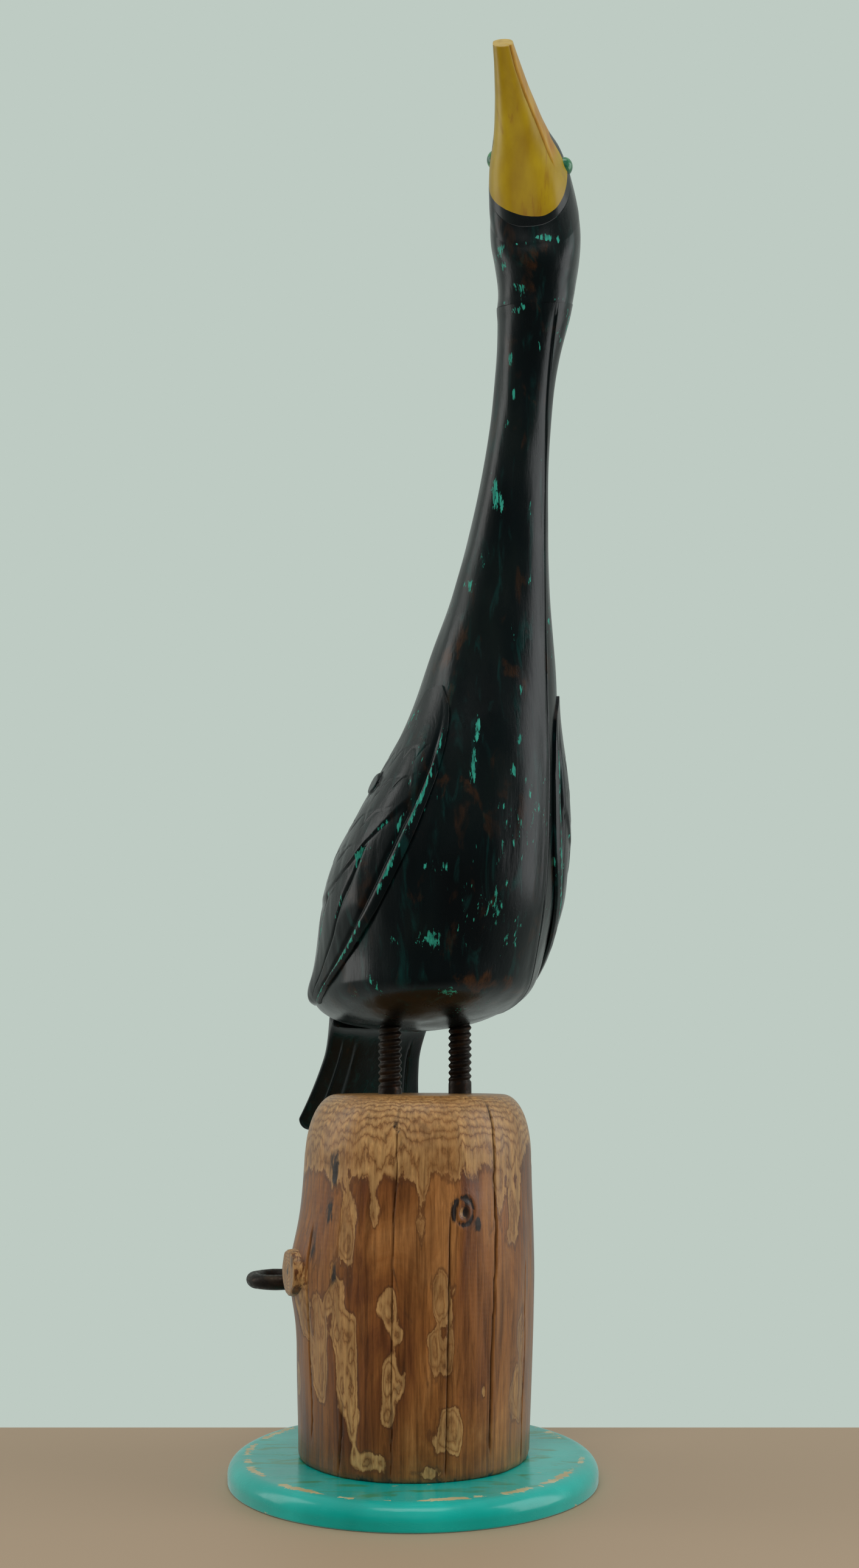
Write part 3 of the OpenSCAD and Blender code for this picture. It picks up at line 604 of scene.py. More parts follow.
def make_log():
    noise, noise2, noise3 = Noise(11), Noise(12), Noise(13)
    rise = np.concatenate([
        np.linspace(0, SHOULDER_Z, 150),
        SHOULDER_Z + ROUND_H * np.sin(np.radians(np.linspace(2, 90, 46))),
    ])
    # Rows over the flat top, shrinking to the middle
    shrink = np.linspace(1, 0.02, 36)[1:]
    height = np.concatenate([rise, np.full(len(shrink), POST_H)])
    share = np.concatenate([np.ones(len(rise)), shrink])
    z, angle = frame_of(height, full_turn(640))
    share, _ = frame_of(share, full_turn(640))
    side = curve(POST_TABLE, z, 2)
    r = post_radius(z) * share
    degrees = np.degrees(angle) + 90          # 0 is -Y, 90 is +X
    around = xyz(np.cos(angle) * 95, np.sin(angle) * 95, z)
    on_side = share > 0.999
    # Depth below the natural surface of the peeled log
    lumps = noise(around, (26, 26, 80)) * 2.6 + noise2(around, (9, 9, 30)) * 1.1
    lumps = lumps + noise3(around, (14, 14, 14)) * 0.9
    depth = side - r + lumps - 1.2 + 2.2 * step(206, 246, z)
    for a, h, half_a, half_h, deep in PATCHES:
        d = turned(degrees, a)
        wave = noise2(around, (9, 9, 22)) * 0.9 + noise3(around, (5, 5, 12)) * 0.4
        inside = np.hypot(d / half_a, (z - h) / half_h) + wave
        depth = depth + deep * step(1.25, 0.1, inside) * on_side
    relief = noise(around, (30, 30, 120)) * 1.6 + noise2(around, (11, 11, 60)) * 0.6
    relief = relief + noise3(around, (6, 6, 24)) * 0.25
    relief = relief - 0.25 * step(0.3, 0.8, depth)
    # Mask of the drying cracks: they are cut into the surface and painted with shade in the
    # material
    crack_and_shade = np.zeros_like(z)
    for a, low, high, width, wander in CRACKS:
        upright = xyz(z * 0 + a, z * 0, z)
        path = a + noise3(upright, (40, 40, 46)) * 2 * wander
        path = path + noise2(upright, (40, 40, 9)) * 0.5
        off = arc(np.abs(turned(degrees, path)), 93)
        taper = step(low - 2, low + 14, z) * step(high + 2, high - 14, z)
        taper = np.where(on_side, taper, 0) if high < POST_H else taper * step(0.35, 0.9, share)
        half = width / 2 * (0.55 + 0.45 * taper)
        strength = min(1.0, 0.5 + 0.5 * width)
        crack_and_shade = np.maximum(crack_and_shade, step(half + 0.75, half * 0.5, off) * taper * strength)
    relief = relief - 2.6 * crack_and_shade
    # Knots: a dark ring round a sunk or raised heart
    stain = np.zeros_like(z)
    for a, h, radius in KNOTS:
        du = arc(turned(degrees, a), 94)
        dist = np.hypot(du, (z - h) * 0.8) + noise3(around, (7, 7, 7)) * 2.2
        relief = relief + 2.6 * hump(dist, 0, radius * 1.9) - 3.0 * hump(dist, 0, radius * 0.45)
        relief = relief - 1.0 * hump(dist, radius * 0.9, 1.6)
        heading = np.arctan2(z - h, du)
        thick = 0.55 + 0.45 * np.cos(heading - 2.6)
        rim = hump(dist, radius * 0.92, 0.9 + 2.2 * thick)
        stain = np.maximum(stain, (0.45 + 0.5 * thick) * rim)
        stain = np.maximum(stain, 0.75 * hump(dist, 0, radius * 0.35))
        depth = depth + 2.4 * step(radius * 0.75, radius * 0.35, dist) - 2.0 * hump(dist, radius, 4)
    for a, h, half_a, half_h, deep in STAINS:
        stain = np.maximum(stain, deep * hump(turned(degrees, a), 0, half_a) * hump(z, h, half_h))
    # A dark band round the foot, where the log stands on the board, is painted shade
    stain = np.maximum(stain, 0.35 * hump(z, 0, 4) * on_side)
    # Swollen collar where the branch grew
    stub_d = arc(turned(degrees, math.degrees(STUB_TURN) + 90), 95)
    dist = np.hypot(stub_d, (z - STUB_Z) * 0.8)
    relief = relief + 8.0 * hump(dist, 0, 27)
    stain = np.maximum(stain, 0.30 * hump(dist, 28, 5))
    fade = np.where(on_side, step(POST_H + 3, SHOULDER_Z + 12, z) * 0.75 + 0.25, 0.25)
    saw = noise2(around * [0.3, 1, 1], (9, 9, 9)) * 0.4
    r = np.maximum(r + (relief * fade - 0.6) * on_side, r * 0.4)
    r = r - 1.2 * (1 - step(0, 4, z)) * on_side
    lift = np.where(on_side, 0, saw * step(0.0, 0.2, 1 - share) - 2.2 * crack_and_shade)
    middle = curve(POST_TABLE, z, 1)
    p = xyz(middle + r * np.cos(angle), r * np.sin(angle), BASE_T + z + lift - 0.15)
    p[0, :, 2] = BASE_T
    # Phase of the growth rings: 2.4 for each mm, and half as fast below 4 mm
    rings = np.where(depth < 4, depth * 2.4, 9.6 + (depth - 4) * 1.2)

    # The branch stub, sawn off square with a ragged face
    along, over = STUB_RINGS
    out = np.concatenate([np.linspace(70, STUB_END - 0.3, along), np.full(over, STUB_END)])
    scale = np.concatenate([np.ones(along), np.linspace(0.97, 0.04, over)])
    x, a = frame_of(out, full_turn(90))
    k, _ = frame_of(scale, full_turn(90))
    flare = 8.0 * np.exp(-np.maximum(x - 93, 0) / 4.5)
    rr = (STUB_R + flare) * k
    q = xyz(x, rr * np.cos(a), rr * np.sin(a))
    bark = noise(q, (12, 6, 6)) * 1.8 + noise2(q, (4, 3, 3)) * 0.8
    rr = rr + bark * k
    face = noise3(q, (4, 3, 9)) * 0.9 * (k < 0.99)
    edge = hump(k, 1.0, 0.04) * 0.6
    x = x + face - edge
    c, s = math.cos(STUB_TURN), math.sin(STUB_TURN)
    stub = xyz(2 + x * c - rr * np.cos(a) * s, x * s + rr * np.cos(a) * c,
               BASE_T + STUB_Z + rr * np.sin(a))
    stub_depth = np.where(k < 0.99, 1.5 + (1 - k) * 9, 0.5)
    stub_stain = np.where(k < 0.99, 0.12 + 0.4 * hump(k, 0, 0.15), 0.10 * hump(x, 97, 6))
    return grid_object("log_with_stub", [p, stub[:, ::-1]], LOG, ["log_post"],
                       {"depth": [depth, stub_depth[:, ::-1]],
                        "rings": [rings, stub_depth[:, ::-1] * 2.4],
                        "crack_and_shade": [crack_and_shade, np.zeros_like(stub_depth)],
                        "stain": [np.clip(stain, 0, 1), stub_stain[:, ::-1]]}, sharp=75)


# ---------- iron ----------

LEG_R = 9.5
ROOT_R = 7.8
PITCH = 5.64
LEG_IN_POST = 70.0
LEG_IN_BODY = 56.0
LEG_GAP = 50.0
LEG_SPREAD = 30.0
THREAD_STEPS = 14
WIRE_R = 6.5
RING_R = 20.0
EYEBOLT_Z = 131.0
EYEBOLT_NECK = 6.0
EYEBOLT_TURN = math.radians(180 - 25)


def make_leg(name, node, side, plain):
    """A lag screw with its thread starting at the height plain over the log."""
    noise = Noise(21 + side)
    low = np.linspace(-LEG_IN_POST, plain - 1, 14)
    thread = np.arange(plain - 1, LEG_GAP + LEG_IN_BODY, PITCH / THREAD_STEPS)
    z, a = frame_of(np.concatenate([low[:-1], thread]), full_turn(72))
    t = z / PITCH - a / (2 * math.pi)
    ridge = (0.5 - 0.5 * np.cos(2 * math.pi * t)) ** 0.8
    run_in = step(plain - 1, plain + PITCH * 0.8, z)
    r = LEG_R - (LEG_R - ROOT_R) * (1 - ridge) * run_in
    p = xyz(r * np.cos(a), r * np.sin(a), POST_TOP + z)
    r = r + noise(p, (5, 5, 5)) * 0.35 - 0.1
    foot = to_world(np.array([0.0, side * LEG_SPREAD, 0.0]))
    p = xyz(foot[0] + r * np.cos(a), foot[1] + r * np.sin(a), POST_TOP + z)
    return grid_object(name, [p], IRON, [node], sharp=80)


def make_eyebolt():
    noise = Noise(31)
    centre_z = BASE_T + EYEBOLT_Z
    side_r = float(curve(POST_TABLE, EYEBOLT_Z, 2))
    centre = float(curve(POST_TABLE, EYEBOLT_Z, 1))
    reach = side_r + EYEBOLT_NECK + WIRE_R + RING_R
    c, n = math.cos(EYEBOLT_TURN), math.sin(EYEBOLT_TURN)
    mid = np.array([centre + reach * c, reach * n, centre_z])
    u, v = frame_of(np.linspace(0, 2 * math.pi, 121), full_turn(40))
    around = xyz(np.cos(u) * RING_R, np.sin(u) * RING_R, v * 4)
    lumps = noise(around, (7, 7, 5)) * 0.7
    lumps[-1] = lumps[0]
    thick = WIRE_R + lumps - 0.3
    rr = RING_R + thick * np.cos(v)
    ring = xyz(mid[0] + rr * np.cos(u), mid[1] + rr * np.sin(u), mid[2] + thick * np.sin(v))
    # Shank from inside the log to the ring, swelling into the forged eye
    length = np.linspace(side_r - 55, side_r + EYEBOLT_NECK + WIRE_R, 60)
    s, a = frame_of(length, full_turn(40))
    swell = 5.5 + 2.2 * step(side_r - 1, side_r + 10, s)
    q = xyz(s, swell * np.cos(a), swell * np.sin(a))
    swell = swell + noise(q, (6, 4, 4)) * 0.5
    high = np.minimum(swell, WIRE_R - 0.2)
    shank = xyz(centre + s * c - swell * np.cos(a) * n, s * n + swell * np.cos(a) * c,
                centre_z + high * np.sin(a))
    return grid_object("eyebolt_forged", [ring[::-1], shank], IRON, ["eyebolt"], sharp=80)


# ---------- body ----------

# Height over the belly, shift forward and to the left, half depth, half width
BODY_TABLE = [
    [0, -24, -8, 96, 86],
    [27, -8, -3, 105, 86],
    [54, 3, 3.5, 101, 87],
    [95, 16, 8, 98, 89],
    [134, 25, 12, 93, 85],
    [170, 33, 18, 85, 76],
    [208, 42, 24.2, 74, 67],
    [244, 49, 29.6, 62, 58.5],
    [281, 56, 34, 51, 51],
    [336, 66, 39, 39, 38.5],
    [404, 75, 44, 29, 28.5],
    [458, 82, 48, 25, 24.3],
    [512, 88, 51.5, 25.5, 25],
    [550, 93, 55, 29, 29],
]
BELLY_ROUND = 40.0
HEAD_TWIST = math.radians(-25)
NECK_SLANT = math.radians(21)
SLANT_FROM = 0.72
SQUARE = 2.15
GLUE_Y = 62.0
BODY_NOISE = Noise(41)
BODY_NOISE2 = Noise(42)
# Places where the black is rubbed through to turquoise, seen from the front:
# X and Z of the middle, half width, half height, tilt in degrees, strength
RUBS = [
    [48.5, 578, 2.0, 12, -3, 0.80], [45, 549, 2.2, 19, -3, 0.72], [80, 572, 2.4, 6, 0, 0.75],
    [75, 548, 3.0, 6, 0, 0.65], [82, 611, 1.8, 9, 0, 0.55], [22, 475, 6, 6, 10, 0.52],
    [9.5, 476, 1.4, 5, 0, 0.60], [42, 462, 2.2, 3, 0, 0.55], [15, 422, 12, 7, 12, 0.58],
    [-12.5, 422, 2.6, 8, 0, 0.58], [-29, 392, 2.6, 11, 38, 0.62], [27, 385, 8, 4, 0, 0.58],
    [-43, 385, 3, 3, 0, 0.50], [75, 500, 15, 32, 0, 0.24], [40, 440, 16, 22, 0, 0.22],
    [10, 540, 10, 30, 0, 0.18], [73.6, 862, 2.0, 7, 0, 0.65], [76, 834, 2.0, 5, 0, 0.60],
    [70, 812, 3.2, 4, 0, 0.55], [64.4, 758, 4.2, 20, 10, 0.60], [95, 866, 1.3, 6, 0, 0.55],
    [97, 787, 1.4, 9, 0, 0.50], [88.7, 752, 1.4, 11, 0, 0.50], [43.6, 692, 5, 9, 6, 0.52],
    [88, 700, 2, 22, 0, 0.30], [80, 893, 5, 3, 0, 0.75], [111, 880, 2, 5, 0, 0.50],
]


def rub_mask(p):
    """The rubbed places on the front, and loose wear everywhere, more at the back."""
    total = np.zeros(p.shape[:2])
    for x, z, w, h, tilt, strength in RUBS:
        c, s = math.cos(math.radians(tilt)), math.sin(math.radians(tilt))
        dx, dz = p[..., 0] - x, p[..., 2] - z
        u, v = dx * c + dz * s, -dx * s + dz * c
        spot = strength * np.exp(-((u / w) ** 2 + (v / h) ** 2))
        total = np.maximum(total, spot * (p[..., 1] < 30))
    loose = BODY_NOISE2(p, (26, 26, 60)) + 0.5 * BODY_NOISE(p, (9, 9, 26))
    return np.maximum(total, step(0.12, 0.45, loose) * (0.27 + 0.2 * (p[..., 1] > 30)))


def belly_factor(h):
    """Share of the full section at a height over the belly's lowest point."""
    rounded = np.sqrt(np.maximum(0, 1 - np.abs(1 - h / BELLY_ROUND) ** 2.4))
    return np.where(h >= BELLY_ROUND, 1.0, rounded)


def half_width(h):
    return curve(BODY_TABLE, h, 4) * belly_factor(h)


def skin(h, a, g=0.0):
    """Points of the body in the bird's frame, raised by g; the sections tilt towards the neck."""
    half_depth = curve(BODY_TABLE, h, 3) * belly_factor(h)
    x, y = section(a, half_depth + g, half_width(h) + g, SQUARE)
    rise = np.maximum(0, h / BODY_H - SLANT_FROM) / (1 - SLANT_FROM)
    drop = math.tan(NECK_SLANT) * rise ** 2 * (x * math.cos(HEAD_TWIST) + y * math.sin(HEAD_TWIST))
    return xyz(curve(BODY_TABLE, h, 1) + x, curve(BODY_TABLE, h, 2) + y, BELLY_Z + h - drop)


def carving(p):
    """Hand-carved unevenness of the body: broad flats and long knife strokes."""
    flats = BODY_NOISE(p, (34, 34, 70)) * 2.2
    strokes = BODY_NOISE2(p, (13, 13, 44)) * 0.9
    return flats + strokes - 1.2


def plane_angle(h, plane):
    """Angle at which the body's section meets an upright plane."""
    k = np.clip((plane - curve(BODY_TABLE, h, 2)) / half_width(h), -0.995, 0.995)
    return np.sign(k) * np.arcsin(np.abs(k) ** (SQUARE / 2))


def body_piece(name, node, side, heights, turns):
    """The skin on one side of the glue plane, closed by the flat glue face."""
    near = np.array([0.0, 0.003, 0.008, 0.015])
    share = np.concatenate([near, np.linspace(0.025, 0.975, turns), 1 - near[::-1]])
    h, k = frame_of(heights, share)
    start = plane_angle(h, GLUE_Y + side * 0.05)
    end = math.pi - start
    if side == LEFT:
        a = start + (end - start) * k
    else:
        a = end + (start - end + 2 * math.pi) * k
    p = skin(h, a)
    n = grid_normals(p, closed=False)
    rump = hump(h, 34, 26) * np.clip(-np.cos(a), 0, 1) ** 2
    relief = carving(p) + 2.0 * rump
    seam = np.minimum(k, 1 - k)
    relief = relief * step(0, 0.02, seam) - 1.0 * step(0.010, 0.0, seam)
    joined = step(BODY_H, BODY_H - 12, h)
    relief = relief * joined - 0.5 * (1 - joined)
    p = p + n * relief[..., None]
    flat = np.linspace(1, 0, 12)[1:-1]
    face = p[:, :1] * (1 - flat[None, :, None]) + p[:, -1:] * flat[None, :, None]
    ring = np.concatenate([p, face], axis=1)
    world = to_world(ring)
    # Brown wood shows low on the breast, and faintly in long patches elsewhere
    x, y, z = world[..., 0], world[..., 1], world[..., 2]
    brown = 0.72 * hump(x, 58, 26) * hump(z, 390, 9) * (y < 20)
    faint = step(0.1, 0.45, BODY_NOISE2(world, (24, 24, 70))) * 0.22
    return black_piece(name, node, world, rub_mask(world), np.maximum(brown, faint))


def make_body():
    low = BELLY_ROUND * (1 - np.cos(np.radians(np.linspace(5, 88, 26))))
    heights = np.concatenate([low, np.linspace(BELLY_ROUND, BODY_H, 230)])
    body_piece("body_block", "body_core", RIGHT, heights, 150)
    # The side board spans the heights at which the body reaches well past the glue plane
    share = (GLUE_Y - curve(BODY_TABLE, heights, 2)) / np.maximum(half_width(heights), 1e-3)
    wide = (heights > 12) & (share < 0.93)
    body_piece("body_side_board", "body_left_board", LEFT, heights[wide], 60)


# ---------- wings ----------

# Height over the belly, and the angles of the leading and the rear edge from the breast
WING_TABLE = [
    [22, 94, 114],
    [32, 83, 121],
    [48, 73, 127],
    [74, 60, 128],
    [94, 52, 126],
    [133, 43, 118],
    [164, 41, 108],
    [199, 40, 97],
    [237, 45, 86],
    [258, 58, 76],
]
WING_T = 7.0
WING_GAP = 0.8
WING_DOWELS = (112, 190)
OVER_DOWEL = 5.9                # wood kept over a dowel's end
LANES = 4.2                     # primaries side by side
SCALLOPS = (5, 10)              # small feathers across and along the coverts
GROOVE_T = 0.115                # the groove's and the raised edge's places across the wing
RIDGE_T = 0.055


def make_wing(name, node, side):
    """A wing on the body's skin: s runs up it, t runs from the leading edge to the rear one."""
    noise = Noise(51 + side)
    t_cols = np.concatenate([[0, 0.004, 0.01, 0.018, 0.03, 0.045], np.linspace(0.06, 0.94, 130),
                             [0.955, 0.97, 0.982, 0.99, 0.996, 1]])
    s, t = frame_of(np.linspace(0, 1, 240), t_cols)
    h = WING_TABLE[0][0] + (WING_TABLE[-1][0] - WING_TABLE[0][0]) * s
    lead, back = curve(WING_TABLE, h, 1), curve(WING_TABLE, h, 2)
    a = side * np.radians(lead * (1 - t) + back * t)
    depth = WING_T * (0.4 + 0.6 * np.sin(np.pi * (0.1 + 0.8 * s)))
    depth = depth * (0.55 + 0.45 * np.sin(np.pi * t ** 0.85))
    depth = depth * (0.62 + 0.38 * step(0.0, 0.45, t))
    edge = np.sqrt(1 - (1 - np.clip(np.minimum(t / 0.05, (1 - t) / 0.04), 0, 1)) ** 2)
    ends = np.minimum(np.sqrt(1 - (1 - np.clip(s / 0.02, 0, 1)) ** 2), step(1.0, 0.58, s))
    p0 = skin(h, a)
    wave = noise(p0, (30, 30, 60)) * 0.07 + noise(p0, (14, 14, 40)) * 0.03
    # Long primaries run down from the coverts and close up towards the foot
    lane = (t + wave) * LANES + 0.9 * (1 - s)
    lap = lane % 1.0
    step_s = 0.60 - 0.42 * t ** 1.3 + 0.05 * np.sin(t * 9)
    low = step(step_s + 0.02, step_s - 0.03, s) * step(0.11, 0.16, t)
    nick = hump(lap, 0.0, 0.075) + hump(lap, 1.0, 0.075)
    primaries = low * (1.6 * (lap - 0.5) - 1.9 * nick)
    # The coverts end in a curved step, and shallow scallops cover them
    coverts = 1.5 * step(step_s - 0.01, step_s + 0.025, s + wave * 0.4) * step(0.10, 0.18, t)
    across, along = SCALLOPS
    scallop_lane = (t * across + 0.5 * np.floor(s * along)) % 1.0
    scallop = (s * along + 1.6 * (scallop_lane - 0.5) ** 2) % 1.0
    high = step(step_s + 0.03, step_s + 0.09, s) * step(0.95, 0.85, s) * step(0.16, 0.24, t)
    cut = hump(scallop, 0.0, 0.07) + hump(scallop, 1.0, 0.07)
    small = high * (0.3 * (0.5 - scallop) - 0.4 * cut)
    # A groove runs inside the raised leading edge
    groove = -2.2 * hump(t, GROOVE_T, 0.020) * step(0.0, 0.06, s) * step(0.95, 0.65, s)
    ridge = 0.8 * hump(t, RIDGE_T, 0.035)
    knife = noise(p0, (12, 12, 40)) * 0.9 + noise(p0, (5, 5, 30)) * 0.4
    relief = primaries + coverts + small + groove + ridge + knife - 1.5
    g = WING_GAP + depth * edge * ends
    g = np.maximum(g + relief * np.minimum(edge, ends), -0.5)
    # Keep the wood over the dowels' ends
    for place in WING_DOWELS:
        near = np.hypot(h - place, (np.degrees(np.abs(a)) - 90) * 1.45)
        g = np.maximum(g, (WING_GAP + OVER_DOWEL) * step(11, 6.5, near))
    outside = skin(h, a, g)
    inside = skin(h, a, -1.2)
    # Turquoise on the raised edge, in streaks along the primaries and at the coverts' step
    broken = step(-0.15, 0.20, noise(p0, (20, 20, 26))) * step(0.92, 0.80, s)
    worn = 0.66 * hump(t, 0.060, 0.022) * broken
    streaks = step(-0.15, 0.30, noise(p0, (14, 14, 44)))
    worn = worn + low * 0.72 * (hump(lap, 0.10, 0.07) + 0.6 * hump(lap, 0.88, 0.06)) * streaks
    broken = step(-0.05, 0.35, noise(p0, (14, 14, 14))) * (t > 0.12)
    worn = worn + 0.50 * hump(s, step_s, 0.022) * broken
    if side == RIGHT:
        outside, inside, worn = outside[:, ::-1], inside[:, ::-1], worn[:, ::-1]
    world = to_world(np.concatenate([outside, inside[:, ::-1]], axis=1))
    wear = np.concatenate([worn, np.zeros_like(worn)], axis=1)
    wear = np.maximum(wear, step(0.15, 0.5, BODY_NOISE2(world, (18, 18, 50))) * 0.30)
    return black_piece(name, node, world, wear, np.zeros_like(wear))


# ---------- tail ----------

TAIL_ROOT = np.array([-98.0, -7.0, BELLY_Z + 11])
TAIL_SLOPE = math.radians(33)
TAIL_LEN, TENON = 114.0, 30.0
TAIL_W, TAIL_END_W, TAIL_T = 82.0, 114.0, 10.0
TAIL_CORNER = 14.0
TAIL_LANES = 3.5                # feathers on each side of the middle


def make_tail():
    noise = Noise(61)
    u_rows = np.concatenate([np.linspace(-TENON, 0, 10)[:-1], np.linspace(0, TAIL_LEN, 110)])
    u, a = frame_of(u_rows, full_turn(220))
    run = np.clip(u / (TAIL_LEN - 12), 0, 1)
    half = TAIL_W / 2 + (TAIL_END_W - TAIL_W) / 2 * run ** 1.8
    corner = np.clip((u - (TAIL_LEN - TAIL_CORNER)) / TAIL_CORNER, 0, 1)
    half = half - TAIL_CORNER * (1 - np.sqrt(1 - corner ** 2))
    # A thicker, wider root outside the tenon
    half = half + 3 * step(40, 0, u) * (u >= -4)
    thick = TAIL_T / 2 * (1 - 0.45 * run) + 7 * np.exp(-np.abs(u) / 9) * (u >= -4)
    thick = thick * np.sqrt(np.clip((TAIL_LEN - u) / 2.5, 0.04, 1))
    v, w = section(a, half, thick, 5.0)
    # Feathers fan out from the root
    lane = (v / half + 1) * TAIL_LANES
    lap = lane % 1.0
    on_blade = step(12, 34, u) * (np.abs(v) < half * 0.97)
    cut = on_blade * (0.8 * (lap - 0.5) - 0.9 * hump(lap, 0, 0.08) - 0.9 * hump(lap, 1, 0.08))
    q = xyz(u, v, w)
    w = w + np.sign(w) * (cut + noise(q, (40, 14, 14)) * 0.8 - 0.4) * np.clip(np.abs(w) / 2, 0, 1)
    # Board axes in the bird's frame: out along the blade, across, and through it
    along = np.array([-math.sin(TAIL_SLOPE), 0, -math.cos(TAIL_SLOPE)])
    through = np.array([math.cos(TAIL_SLOPE), 0, -math.sin(TAIL_SLOPE)])
    across = np.array([0, 1.0, 0])
    p = TAIL_ROOT + u[..., None] * along + v[..., None] * across + w[..., None] * through
    world = to_world(p)
    rub = 0.42 * hump(np.abs(v) / half, 0.86, 0.10) * step(0.0, 0.35, noise(q, (60, 8, 20)))
    brown = 0.55 * step(0.6, 0.95, v / half) * step(0.0, 0.3, noise(q, (50, 7, 20))) * (w > 0)
    brown = brown + 0.3 * hump(v / half, 0.1, 0.2) * (w > 0) * step(0.1, 0.4, noise(q, (50, 9, 20)))
    return black_piece("tail_blade", "tail", world[::-1], rub[::-1] * 0.6, brown[::-1])


# ---------- head and bill ----------

HEAD_LEN, BILL_LEN = 84.0, 93.0
BILL_LEAN = math.radians(24)
BILL_SWING = 22.0
SWING_START = 0.75 * HEAD_LEN
# Share of the length, offset to the throat, half depth, half width, skew, offset to the left
HEAD_TABLE = [
    [0, 0, 29, 29, math.tan(NECK_SLANT), 0],
    [0.16, -1, 32, 30, 0.42, 1.5],
    [0.36, -1, 36, 32.5, 0.48, 2],
    [0.58, 0, 38, 34.5, 0.6, 1],
    [0.81, -1, 37, 33.5, 0.77, 0],
    [1, -2, 34, 31, 0.9, 0],
]
BILL_TABLE = [
    [0, -2, 34, 31, 0.9, 0],
    [0.17, -1.5, 28, 27, 0.8, 0],
    [0.33, 0, 22, 21.5, 0.7, 0],
    [0.61, 2, 15.5, 14.5, 0.7, 0],
    [0.86, 4, 11, 9.7, 0.65, 0],
    [1, 5.5, 8.5, 7.6, 0.45, 0],
]
HEAD_SQUARE = 2.2
CROWN_FROM = 1.58               # angle from the throat at which the black crown starts
NECK = np.array([curve(BODY_TABLE, BODY_H, 1), curve(BODY_TABLE, BODY_H, 2), BELLY_Z + BODY_H])


def head_points(table, start, length, share, angle):
    """Points of the head or bill at a share of its length and an angle from the throat."""
    x, y = section(angle, curve(table, share, 2), curve(table, share, 3), HEAD_SQUARE)
    x = x + curve(table, share, 1)
    y = y + curve(table, share, 5)
    along = start + share * length
    bend = HEAD_LEN / BILL_LEAN
    lean = np.minimum(along / HEAD_LEN, 1) * BILL_LEAN
    rest = np.maximum(along - HEAD_LEN, 0)
    up = -curve(table, share, 4) * x
    px = bend * (1 - np.cos(lean)) + rest * np.sin(lean) + x * np.cos(lean) + up * np.sin(lean)
    pz = bend * np.sin(lean) + rest * np.cos(lean) - x * np.sin(lean) + up * np.cos(lean)
    reach = np.maximum(along - SWING_START, 0) / (HEAD_LEN + BILL_LEN - SWING_START)
    y = y - BILL_SWING * reach ** 1.1
    c, s = math.cos(HEAD_TWIST), math.sin(HEAD_TWIST)
    return xyz(NECK[0] + px * c - y * s, NECK[1] + px * s + y * c, NECK[2] + pz)


FACE_NOISE = Noise(71)
FACE_NOISE2 = Noise(72)


def face_carving(p):
    """Knife-cut unevenness that runs on from the head into the bill."""
    return FACE_NOISE(p, (20, 20, 30)) * 1.4 + FACE_NOISE2(p, (8, 8, 26)) * 0.5 - 0.7


def make_head():
    k, a = frame_of(np.linspace(0, 1, 130), full_turn(220))
    p = head_points(HEAD_TABLE, 0, HEAD_LEN - 0.05, k, a)
    n = grid_normals(p)
    joined = step(0.0, 0.12, k)
    relief = face_carving(p) * joined - 0.5 * (1 - joined)
    p = p + n * relief[..., None]
    world = to_world(p)
    off = (a + math.pi) % (2 * math.pi) - math.pi
    # Turquoise shows in a few arcs under the bill and at the neck's joint
    x, y, z = world[..., 0], world[..., 1], world[..., 2]
    broken = step(0.0, 0.25, FACE_NOISE(p, (9, 9, 5)))
    under = hump(z, 940, 4) * step(1.1, 0.6, np.abs(off)) * broken
    patch = hump(x, 83, 6) * hump(z, 904 - (x - 83) * 0.7, 6)
    side = hump(x, 66, 5) * hump(z, 936, 6)
    joint = hump(k, 0.03, 0.03) * step(-0.05, 0.25, FACE_NOISE(p, (10, 10, 10)))
    loose = step(0.20, 0.45, FACE_NOISE(p, (12, 12, 30))) * 0.34
    wear = np.maximum(0.62 * under, np.maximum(0.62 * patch, 0.55 * side) * (y < 20))
    wear = np.maximum(np.maximum(wear, 0.5 * joint), loose)
    brown = 0.50 * hump(x, 97, 8) * hump(z, 925, 20) * (y < -30)
    return black_piece("head_block", "head", world, wear, brown)


